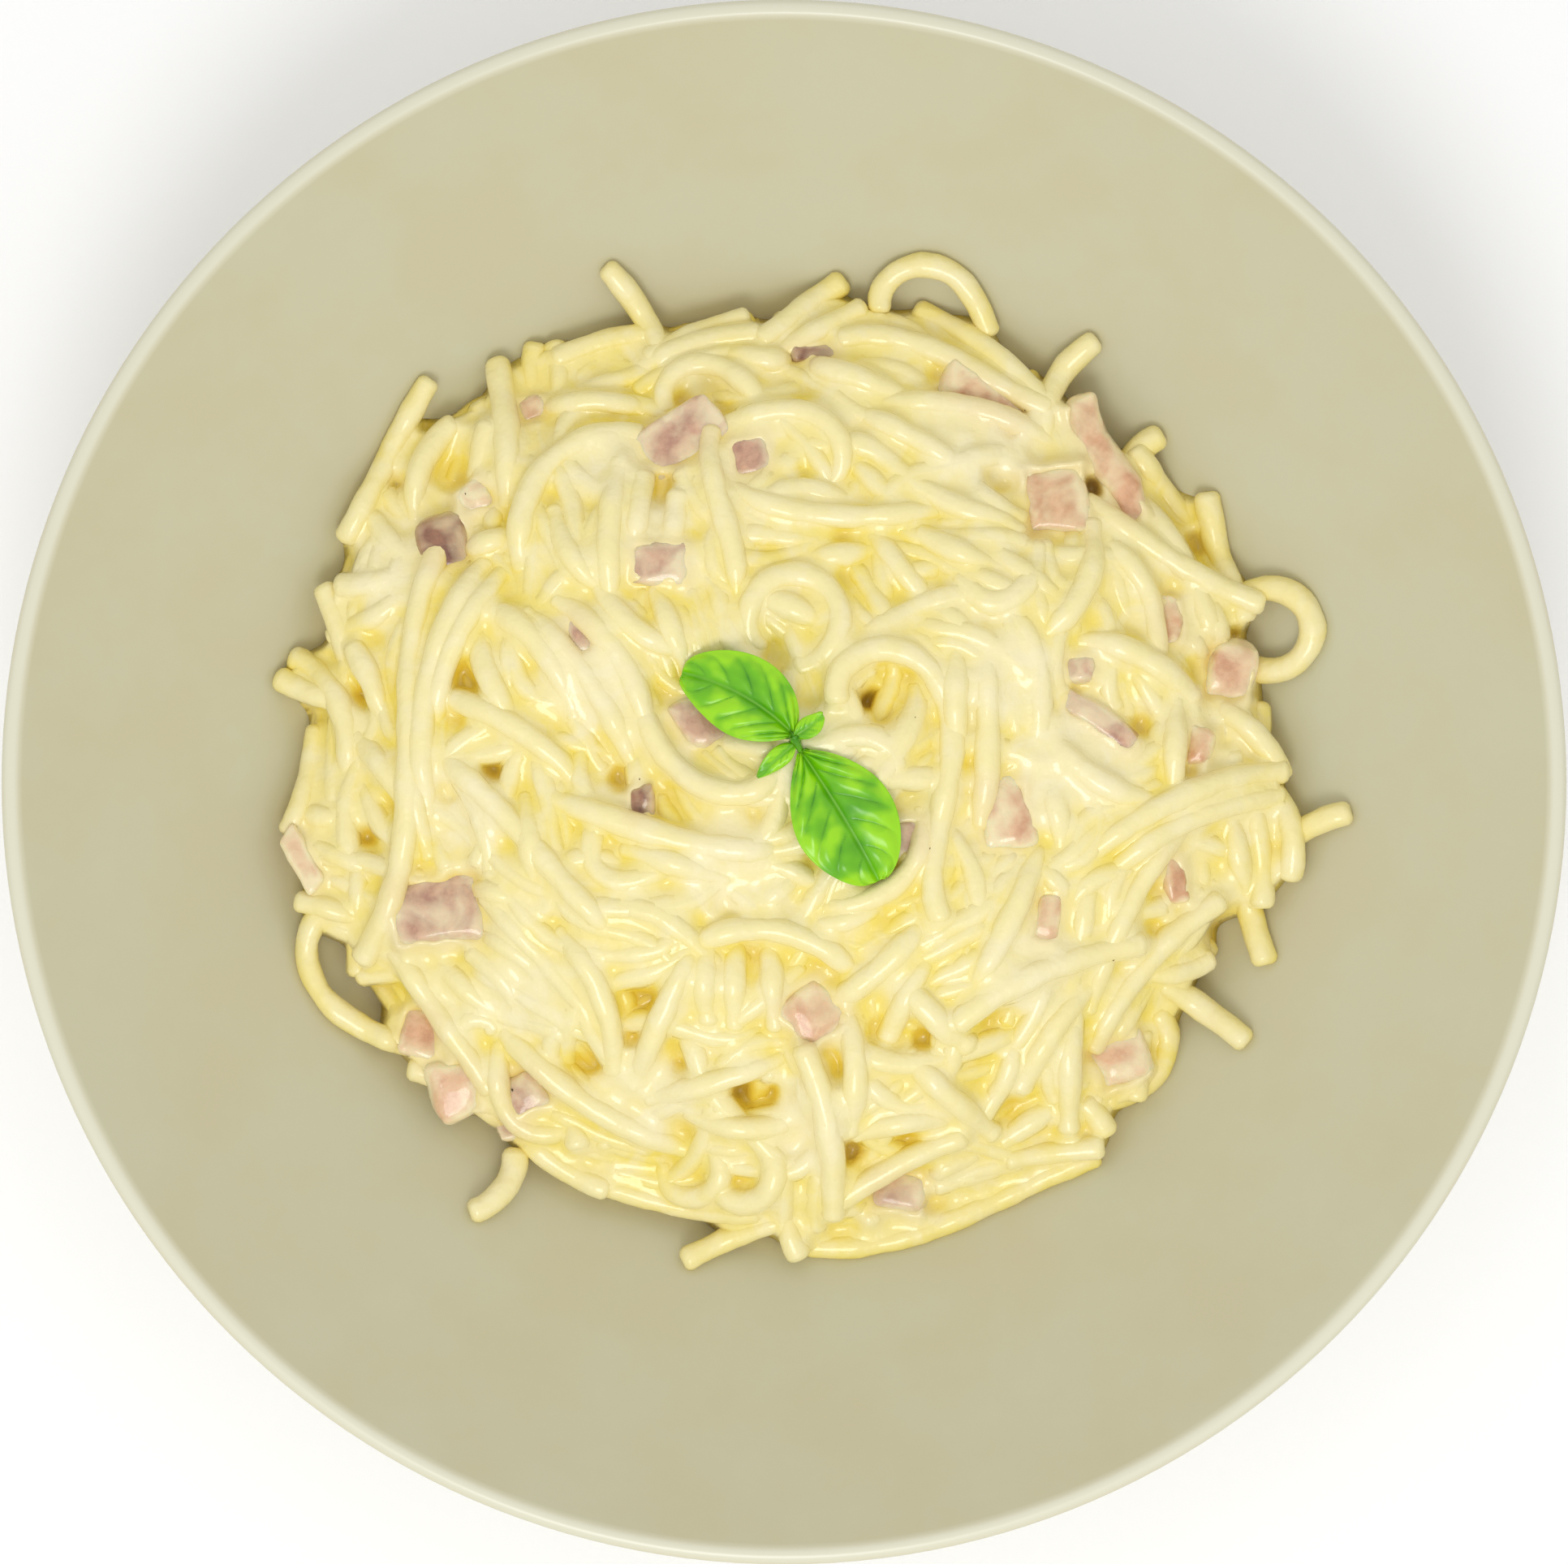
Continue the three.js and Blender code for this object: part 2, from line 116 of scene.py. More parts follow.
def add_node(
    tree: bpy.types.NodeTree,
    kind: str,
    settings: dict | None = None,
    inputs: dict | None = None,
    stops: list[tuple[float, str]] | None = None,
) -> bpy.types.Node:
    """Adds a node to a tree.

    Args:
        tree: The material's node tree.
        kind: The node's type name, after the word ShaderNode that all of them start with.
        settings: Properties of the node itself.
        inputs: Values or sockets for its inputs, by name or number.
        stops: Places and hex colours of a colour ramp.

    Returns:
        The new node.
    """
    node = tree.nodes.new("ShaderNode" + kind)
    for name, value in (settings or {}).items():
        setattr(node, name, value)
    for name, value in (inputs or {}).items():
        if isinstance(value, bpy.types.NodeSocket):
            tree.links.new(value, node.inputs[name])
        else:
            node.inputs[name].default_value = value
    for number, (place, code) in enumerate(stops or []):
        elements = node.color_ramp.elements
        element = elements[number] if number < len(elements) else elements.new(place)
        element.position = place
        element.color = linear(code)
    return node


def start_finish(name: str, sockets: dict) -> tuple[Material, bpy.types.NodeTree, bpy.types.Node]:
    """Starts a material.

    Args:
        name: Name of the material.
        sockets: Even values for the shader's own sockets, by name.

    Returns:
        The material, its node tree and its shader.
    """
    material = bpy.data.materials.new(name)
    material.use_nodes = True
    shader = material.node_tree.nodes["Principled BSDF"]
    for socket, value in sockets.items():
        shader.inputs[socket].default_value = value
    return material, material.node_tree, shader


def finish_piece(bm: BMesh, name: str, material: Material, replaced: list[str]) -> Piece:
    """Turns a bmesh in millimetres into a piece of the object, in metres.

    Args:
        bm: The shape, which is freed.
        name: Name of the piece.
        material: Its finish.
        replaced: CAD nodes that the piece stands for.

    Returns:
        The new object, riding on the frame's one body.
    """
    bmesh.ops.scale(bm, vec=(MM, MM, MM), verts=bm.verts)
    mesh = bpy.data.meshes.new(name)
    bm.to_mesh(mesh)
    bm.free()
    mesh.shade_smooth()
    mesh.materials.append(material)
    piece = bpy.data.objects.new(name, mesh)
    bpy.context.scene.collection.objects.link(piece)
    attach(piece, ROOT)
    if replaced:
        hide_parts(*replaced)
    LOG.info("%s: %d faces", name, len(mesh.polygons))
    return piece


def absorb(whole: BMesh, part: BMesh) -> None:
    """Adds one bmesh to another.

    Args:
        whole: The bmesh that grows.
        part: The one that is added, which is freed.
    """
    mesh = bpy.data.meshes.new("part")
    part.to_mesh(mesh)
    part.free()
    whole.from_mesh(mesh)
    bpy.data.meshes.remove(mesh)


def extrude_rim(
    bm: BMesh, edges: list[bmesh.types.BMEdge]
) -> tuple[list[bmesh.types.BMVert], list[bmesh.types.BMEdge]]:
    """Extrudes an open rim once.

    Args:
        bm: The shape.
        edges: The rim's edges.

    Returns:
        The new vertices, still in their old places, and the new rim's edges.
    """
    made = bmesh.ops.extrude_edge_only(bm, edges=edges)["geom"]
    verts = [part for part in made if isinstance(part, bmesh.types.BMVert)]
    return verts, [part for part in made if isinstance(part, bmesh.types.BMEdge) and part.is_boundary]


def coordinates(mesh: bpy.types.Mesh) -> Array:
    """Reads where a mesh's vertices lie.

    Args:
        mesh: The mesh, in metres.

    Returns:
        One row for each vertex, in millimetres.
    """
    flat = np.empty(len(mesh.vertices) * 3)
    mesh.vertices.foreach_get("co", flat)
    return flat.reshape(-1, 3) / MM


def add_attribute(mesh: bpy.types.Mesh, name: str, values: Array) -> None:
    """Stores one number for each vertex, for the materials to read."""
    layer = mesh.attributes.new(name, "FLOAT", "POINT")
    layer.data.foreach_set("value", np.asarray(values, dtype=np.float32))


def roughen(mesh: bpy.types.Mesh, lumps: tuple[tuple[float, float], ...], outward: bool = False) -> None:
    """Moves a mesh's vertices along their normals by soft noise.

    Args:
        mesh: The mesh, in metres.
        lumps: Pairs of lump size and height, both in millimetres.
        outward: Whether the surface may only grow.
    """
    places = coordinates(mesh)
    normals = np.empty(len(places) * 3)
    mesh.vertices.foreach_get("normal", normals)
    moves = np.zeros(len(places))
    for size, height in lumps:
        values = np.array([noise.noise(Vector(place)) for place in places / size])
        moves += height * (0.5 + 0.5 * values if outward else values)
    moved = places + normals.reshape(-1, 3) * moves[:, None]
    mesh.vertices.foreach_set("co", (moved * MM).ravel())
    mesh.update()


def seeded(seed: int) -> Iterator[float]:
    """Draws repeatable numbers.

    Args:
        seed: Where the stream starts.

    Returns:
        An endless stream of numbers from 0 to 1.
    """
    state = seed
    while True:
        state = (state * 1664525 + 1013904223) % 4294967296
        yield state / 4294967296


# ---- finishes


@dataclass(frozen=True)
class StonewareGlaze:
    """Satin reactive glaze fired on stoneware.

    It gives the eye a soft sheen and an even grey-beige with faint clouds, and a painted highlight:
    on the lip's rounded top the colour is painted paler.
    """

    cooler: str = "c9c6a7"
    warmer: str = "c9c2a0"
    # painted highlight: the paler colour of the lip's rounded top
    lip: str = "dddac3"
    mottle_mm: float = 22.0
    lip_sheen_mm: tuple[float, float] = (51.1, 51.9)  # heights over which the lip's painted highlight comes in
    roughness: float = 0.3
    ior: float = 1.5

    def material(self) -> Material:
        """Builds the glaze, whose mottling follows the object's own coordinates.

        Returns:
            The material.
        """
        sockets = {"Roughness": self.roughness, "IOR": self.ior}
        material, tree, shader = start_finish("satin_stoneware_glaze", sockets)
        place = add_node(tree, "TexCoord").outputs["Object"]
        mottle = {"Vector": place, "Scale": per_metre(self.mottle_mm), "Detail": 4.0, "Roughness": 0.6}
        cloud = add_node(tree, "TexNoise", {}, mottle).outputs["Fac"]
        tone = add_node(tree, "ValToRGB", {}, {"Fac": cloud}, [(0.36, self.warmer), (0.64, self.cooler)])
        height = add_node(tree, "SeparateXYZ", {}, {"Vector": place}).outputs["Z"]
        # painted highlight: the glaze turns to the paler lip colour over the lip's top
        low, high = self.lip_sheen_mm
        lip_sheen_band = add_node(tree, "MapRange", {}, {"Value": height, "From Min": low * MM, "From Max": high * MM})
        layers = {0: lip_sheen_band.outputs["Result"], 6: tone.outputs["Color"], 7: linear(self.lip)}
        lipped = add_node(tree, "Mix", {"data_type": "RGBA"}, layers)
        tree.links.new(lipped.outputs[2], shader.inputs["Base Color"])
        return material


@dataclass(frozen=True)
class SaucedPasta:
    """Boiled spaghetti under egg and cream sauce.

    The wet coat gives the eye small sharp glints on pale crowns, with painted shade between the
    noodles: a darker gold where light sinks between them.
    """

    # painted shade: deep and crease are the colours of low places, darker than flank and crown on top
    deep: str = "c2a030"
    crease_shade: str = "e8ca42"
    flank: str = "f3de68"
    crown: str = "f4e7a6"
    cream: str = "f6ebbc"
    ham_tint: str = "ecd6a2"
    patch_mm: float = 7.0
    smear_mm: float = 5.0
    ripple_mm: float = 1.6
    ripple_depth_mm: float = 0.3
    roughness: float = 0.36
    ior: float = 1.42
    coat: float = 0.6
    coat_roughness: float = 0.09

    def material(self) -> Material:
        """Builds the pasta's finish from the attributes relief, sunk, cream and blush.

        Returns:
            The material.
        """
        sockets = {"Roughness": self.roughness, "IOR": self.ior}
        sockets |= {"Coat Weight": self.coat, "Coat Roughness": self.coat_roughness}
        material, tree, shader = start_finish("sauced_spaghetti", sockets)
        place = add_node(tree, "TexCoord").outputs["Object"]
        names = ("relief", "sunk", "cream", "blush")
        stored = [add_node(tree, "Attribute", {"attribute_name": name}).outputs["Fac"] for name in names]
        relief, sunk, cream, blush = stored

        # painted shade: where a place lies low beside its neighbours, light sinks deeper and the colour is
        # painted a darker gold
        height = add_node(tree, "MapRange", {}, {"Value": relief, "From Min": -1.9, "From Max": 1.0})
        depth = add_node(tree, "MapRange", {}, {"Value": sunk, "From Min": -5.5, "From Max": 0.5})
        halves = {0: 0.5, 2: height.outputs["Result"], 3: depth.outputs["Result"]}
        both = add_node(tree, "Mix", {"data_type": "FLOAT"}, halves)
        patches = add_node(
            tree, "TexNoise", {}, {"Vector": place, "Scale": per_metre(self.patch_mm), "Detail": 3.0}
        )
        shift = {0: patches.outputs["Fac"], 1: 0.24, 2: -0.12}
        drift = add_node(tree, "Math", {"operation": "MULTIPLY_ADD"}, shift)
        parts = {0: both.outputs[0], 1: drift.outputs[0]}
        tone = add_node(tree, "Math", {"operation": "ADD"}, parts).outputs[0]
        stops = [(0.18, self.deep), (0.46, self.crease_shade), (0.7, self.flank), (0.95, self.crown)]
        ramp = add_node(tree, "ValToRGB", {}, {"Fac": tone}, stops)

        # cream clings in smears, the sauce's own colour, and more on what stands up; low places keep their
        # painted shade
        smear = {"Vector": place, "Scale": per_metre(self.smear_mm), "Detail": 3.0, "Distortion": 0.5}
        smears = add_node(tree, "TexNoise", {}, smear)
        band = {"Value": smears.outputs["Fac"], "From Min": 0.44, "From Max": 0.68, "To Max": 0.6}
        smeared = add_node(tree, "MapRange", {}, band).outputs["Result"]
        rise = {"Value": tone, "From Min": 0.45, "From Max": 0.75, "To Min": 0.15}
        risen = add_node(tree, "MapRange", {}, rise).outputs["Result"]
        spread = add_node(tree, "Math", {"operation": "ADD"}, {0: smeared, 1: cream}).outputs[0]
        product = {"operation": "MULTIPLY", "use_clamp": True}
        clinging = add_node(tree, "Math", product, {0: spread, 1: risen}).outputs[0]
        layers = {0: clinging, 6: ramp.outputs["Color"], 7: linear(self.cream)}
        coated = add_node(tree, "Mix", {"data_type": "RGBA"}, layers)
        layers = {0: blush, 6: coated.outputs[2], 7: linear(self.ham_tint)}
        blushed = add_node(tree, "Mix", {"data_type": "RGBA"}, layers)
        tree.links.new(blushed.outputs[2], shader.inputs["Base Color"])

        ripples = add_node(
            tree, "TexNoise", {}, {"Vector": place, "Scale": per_metre(self.ripple_mm), "Detail": 2.0}
        )
        wave = {"Strength": 0.7, "Distance": self.ripple_depth_mm * MM, "Height": ripples.outputs["Fac"]}
        tree.links.new(add_node(tree, "Bump", {}, wave).outputs["Normal"], shader.inputs["Normal"])
        return material


@dataclass(frozen=True)
class CookedHam:
    """Diced cooked ham, moist and cut across the grain.

    It gives the eye pink to mauve lean meat that light soaks into, with cream sauce in patches, all wet.
    """

    tone: HamTone
    lean: str
    shade: str
    sauce: str
    coverage: float
    grain_mm: float = 2.6
    patch_mm: float = 5.5
    grain_depth_mm: float = 0.4
    soak_mm: float = 1.0

    def material(self) -> Material:
        """Builds the ham's finish, whose sauce patches follow the object's own coordinates.

        Returns:
            The material.
        """
        sockets = {"Roughness": 0.38, "IOR": 1.42, "Coat Weight": 0.7, "Coat Roughness": 0.1}
        sockets |= {"Subsurface Weight": 0.4, "Subsurface Radius": (1.0, 0.45, 0.35)}
        sockets |= {"Subsurface Scale": self.soak_mm * MM}
        material, tree, shader = start_finish(f"cooked_ham_{self.tone.value}", sockets)
        place = add_node(tree, "TexCoord").outputs["Object"]
        fibres = {"Vector": place, "Scale": per_metre(self.grain_mm), "Detail": 4.0, "Roughness": 0.6}
        grain = add_node(tree, "TexNoise", {}, fibres).outputs["Fac"]
        meat = add_node(tree, "ValToRGB", {}, {"Fac": grain}, [(0.36, self.shade), (0.62, self.lean)])
        patch = {"Vector": place, "Scale": per_metre(self.patch_mm), "Detail": 2.5, "Distortion": 0.6}
        clinging = add_node(tree, "TexNoise", {}, patch).outputs["Fac"]
        edges = add_node(tree, "Attribute", {"attribute_name": "coat"}).outputs["Fac"]
        spread = add_node(tree, "Math", {"operation": "MULTIPLY_ADD"}, {0: clinging, 1: 1.5, 2: edges})
        low, high = (bare - self.coverage * 0.4 for bare in (0.82, 1.3))
        band = {"Value": spread.outputs[0], "From Min": low, "From Max": high, "To Max": 0.94}
        cover = add_node(tree, "MapRange", {}, band)
        layers = {0: cover.outputs["Result"], 6: meat.outputs["Color"], 7: linear(self.sauce)}
        coated = add_node(tree, "Mix", {"data_type": "RGBA"}, layers)
        tree.links.new(coated.outputs[2], shader.inputs["Base Color"])
        wave = {"Strength": 0.7, "Distance": self.grain_depth_mm * MM, "Height": grain}
        tree.links.new(add_node(tree, "Bump", {}, wave).outputs["Normal"], shader.inputs["Normal"])
        return material


HAM_FINISHES = {
    HamTone.PINK: CookedHam(HamTone.PINK, "e2b48c", "cc9870", "f0e1b4", 0.45),
    HamTone.MAUVE: CookedHam(HamTone.MAUVE, "d4aa8c", "b48872", "ebdcb4", 0.48),
    # painted shade: darker meat for the pieces that sit in shaded hollows of the heap
    HamTone.SHADED: CookedHam(HamTone.SHADED, "a07256", "784e3c", "dcc59a", 0.2),
    HamTone.PALE: CookedHam(HamTone.PALE, "e5bd96", "d2a07c", "f1e4b8", 0.65),
}


@dataclass(frozen=True)
class BasilGreen:
    """Fresh basil leaf with its natural wax.

    It gives the eye a glossy mid green that glows a little, with a pale midrib, and painted light
    and shade: lighter on the puffs between the veins, darker in the grooves.
    """

    # painted shade and light: the colour runs from the dark groove stop to the light stop with the leaf's
    # relief
    groove_shade: str = "3a9408"
    body: str = "70be00"
    light: str = "9cdc0a"
    rib: str = "86c830"
    cloud_mm: float = 5.5
    pore_mm: float = 0.8  # far finer on a real leaf, and drawn this coarse to show
    pore_depth_mm: float = 0.06
    soak_mm: float = 0.5
    roughness: float = 0.3

    def material(self) -> Material:
        """Builds the leaf's finish from the attributes rib and quilt.

        Returns:
            The material.
        """
        sockets = {"Roughness": self.roughness, "IOR": 1.45, "Coat Weight": 0.2, "Coat Roughness": 0.2}
        sockets |= {"Subsurface Weight": 0.25, "Subsurface Radius": (0.4, 1.0, 0.15)}
        sockets |= {"Subsurface Scale": self.soak_mm * MM}
        material, tree, shader = start_finish("fresh_basil_leaf", sockets)
        place = add_node(tree, "TexCoord").outputs["Object"]
        names = ("quilt_shading", "rib")
        quilt_shading, rib = [add_node(tree, "Attribute", {"attribute_name": name}).outputs["Fac"] for name in names]
        cloud = add_node(
            tree, "TexNoise", {}, {"Vector": place, "Scale": per_metre(self.cloud_mm), "Detail": 2.0}
        )
        # painted light and shade: the puffs between the veins are lighter, the furrows darker
        shift = {0: cloud.outputs["Fac"], 1: 1.3, 2: quilt_shading}
        tone = add_node(tree, "Math", {"operation": "MULTIPLY_ADD"}, shift).outputs[0]
        stops = [(0.4, self.groove_shade), (0.8, self.body), (1.0, self.light)]
        green = add_node(tree, "ValToRGB", {}, {"Fac": tone}, stops).outputs["Color"]
        ribbed = add_node(tree, "Mix", {"data_type": "RGBA"}, {0: rib, 6: green, 7: linear(self.rib)})
        tree.links.new(ribbed.outputs[2], shader.inputs["Base Color"])
        pores = add_node(
            tree, "TexNoise", {}, {"Vector": place, "Scale": per_metre(self.pore_mm), "Detail": 2.0}
        )
        wave = {"Strength": 0.3, "Distance": self.pore_depth_mm * MM, "Height": pores.outputs["Fac"]}
        tree.links.new(add_node(tree, "Bump", {}, wave).outputs["Normal"], shader.inputs["Normal"])
        return material


@dataclass(frozen=True)
class GroundPepper:
    """Coarsely ground black pepper: dry, matt and dark brown, with a paler broken side."""

    dark: str = "3a2c1c"
    pale: str = "8a6f45"
    grain_mm: float = 1.2

    def material(self) -> Material:
        """Builds the pepper's finish.

        Returns:
            The material.
        """
        material, tree, shader = start_finish("ground_black_pepper", {"Roughness": 0.7})
        place = add_node(tree, "TexCoord").outputs["Object"]
        grain = add_node(tree, "TexNoise", {}, {"Vector": place, "Scale": per_metre(self.grain_mm)})
        stops = [(0.45, self.dark), (0.7, self.pale)]
        tone = add_node(tree, "ValToRGB", {}, {"Fac": grain.outputs["Fac"]}, stops)
        tree.links.new(tone.outputs["Color"], shader.inputs["Base Color"])
        return material


@dataclass(frozen=True)
class PaleFloor:
    """Plain matt white board that the plate stands on, which shows as a clean pale ground."""

    tone: str = "ffffff"
    roughness: float = 0.9

    def material(self) -> Material:
        """Builds the floor's finish."""
        sockets = {"Base Color": linear(self.tone), "Roughness": self.roughness}
        return start_finish("matt_white_board", sockets)[0]


# ---- the plate


@dataclass(frozen=True)
class DeepPlate:
    """The wheel-turned deep plate: flat floor, open curved wall, rounded lip and foot ring."""

    radius: float = 110.0
    lip_radius: float = 1.5
    rim_height: float = 50.5  # of the lip's centre
    floor_height: float = 7.5
    floor_radius: float = 35.0
    floor_ring: float = 20.0  # a ring on the flat floor that keeps its shading even
    wall_rise: float = 43.6
    wall_run: float = 72.0
    wall_power: float = 1.6
    wall_foot: float = 4.6  # thickness above the foot ring
    wall_start: tuple[float, float] = (0.6, 5.2)  # out from the foot ring and up
    wall_gap: float = 2.0  # from the foot ring to where the wall's thickness is measured
    foot_outer: float = 52.0
    foot_inner: float = 46.0
    foot_round: float = 0.7
    recess_height: float = 3.0
    recess_slope: float = 1.6
    lip_join: float = 107.4
    foot_steps: int = 4
    wall_steps: int = 34
    lip_steps: int = 14
    face_steps: int = 56
    turns: int = 200

    def inside(self, reach: Array | float) -> Array | float:
        """Height of the inner face at that distance from the axis."""
        climb = np.maximum(0.0, (np.asarray(reach, dtype=float) - self.floor_radius) / self.wall_run)
        return self.floor_height + self.wall_rise * climb**self.wall_power

    def slope(self, reach: float, probe: float = 0.05) -> float:
        """Angle of the inner face from level at that distance from the axis."""
        return math.atan((self.inside(reach + probe) - self.inside(reach - probe)) / (2 * probe))

    def section(self) -> list[tuple[float, float]]:
        """Draws the plate's section from the underside's middle, round the lip and back to the axis.

        Returns:
            Radius and height of each point.
        """
        points = [(0.0, self.recess_height), (self.foot_inner - self.recess_slope, self.recess_height)]
        quarter = [math.radians(90 * i / self.foot_steps) for i in range(self.foot_steps + 1)]
        bend, edge = self.foot_round, self.foot_outer
        points += [(self.foot_inner + bend - bend * math.cos(a), bend - bend * math.sin(a)) for a in quarter]
        points += [(edge - bend + bend * math.sin(a), bend - bend * math.cos(a)) for a in quarter]
        out, up = self.wall_start
        points += [(edge + out, up)]
        lip_centre = self.radius - self.lip_radius
        lip_inner = lip_centre - self.lip_radius * math.sin(self.slope(self.lip_join))
        for share in np.linspace(0.0, 1.0, self.wall_steps):
            reach = edge + self.wall_gap + (lip_inner - edge - self.wall_gap) * share
            thick = self.wall_foot + (2 * self.lip_radius - self.wall_foot) * share
            tilt = self.slope(reach)
            face = float(self.inside(reach))
            points.append((reach + thick * math.sin(tilt), face - thick * math.cos(tilt)))
        for step in range(1, self.lip_steps):
            turn = self.slope(self.lip_join) - math.pi / 2 + math.pi * step / self.lip_steps
            out, up = self.lip_radius * math.cos(turn), self.lip_radius * math.sin(turn)
            points.append((lip_centre + out, self.rim_height + up))
        for reach in np.linspace(lip_inner, self.floor_radius, self.face_steps):
            points.append((float(reach), float(self.inside(reach))))
        return points + [(self.floor_ring, self.floor_height), (0.0, self.floor_height)]

    def build(self) -> Piece:
        """Spins the section round the axis.

        Returns:
            The plate, which stands for the frame's bowl.
        """
        bm = bmesh.new()
        spots = [bm.verts.new((reach, 0.0, height)) for reach, height in self.section()]
        line = [bm.edges.new(pair) for pair in zip(spots, spots[1:])]
        bmesh.ops.spin(
            bm,
            geom=spots + line,
            cent=(0, 0, 0),
            axis=(0, 0, 1),
            dvec=(0, 0, 0),
            angle=2 * math.pi,
            steps=self.turns,
            use_merge=True,
        )
        bmesh.ops.remove_doubles(bm, verts=bm.verts, dist=1e-4)
        bmesh.ops.recalc_face_normals(bm, faces=bm.faces)
        return finish_piece(bm, "deep_plate", StonewareGlaze().material(), ["bowl"])


# ---- the heap's form


@dataclass(frozen=True)
class HeapDome:
    """The heap's smooth form: a low dome that falls to a wavy edge on the plate's wall."""

    plate: DeepPlate
    top: float = 38.5
    fall: float = 3.0
    edge: float = 2.2
    lump: float = 1.1
    # the edge's radius every 15 degrees, anticlockwise from +X
    radii: tuple[float, ...] = (
        71.5, 71.5, 71.5, 70, 70.5, 70, 69, 68.5, 70, 72.5, 73, 70,
        70, 71, 68.5, 66.5, 64.5, 63.5, 66, 66, 66.5, 67, 66, 69.5,
    )  # fmt: skip

    def reach(self, angle: Array | float) -> Array:
        """Finds the dome's radius in each direction, blended between the stated radii.

        Args:
            angle: Directions from +X, in radians.

        Returns:
            The radii.
        """
        count = len(self.radii)
        table = np.array(self.radii)
        at = (np.asarray(angle) / (2 * math.pi) * count) % count
        low = np.floor(at).astype(int) % count
        blend = (1 - np.cos(np.pi * (at - np.floor(at)))) / 2
        return table[low] * (1 - blend) + table[(low + 1) % count] * blend

    def share(self, x: Array | float, y: Array | float) -> Array:
        """How far out a point lies, from 0 at the centre to 1 at the dome's edge."""
        return np.hypot(x, y) / self.reach(np.arctan2(y, x))

    def height(self, x: Array | float, y: Array | float) -> Array:
        """Finds the height of the dome's top, with its gentle lumps.

        Args:
            x: Places along X.
            y: Places along Y.

        Returns:
            The heights.
        """
        share = np.minimum(1.0, self.share(x, y))
        rim = self.plate.inside(np.maximum(np.hypot(x, y), self.reach(np.arctan2(y, x)))) + self.edge
        lumps = np.sin(x / 8.5 + 0.6) * np.cos(y / 9.5 - 0.4) + 0.6 * np.sin((x - 1.4 * y) / 12 + 1.9)
        return self.top + (rim - self.top) * share**self.fall + self.lump * lumps * (1 - share**4)


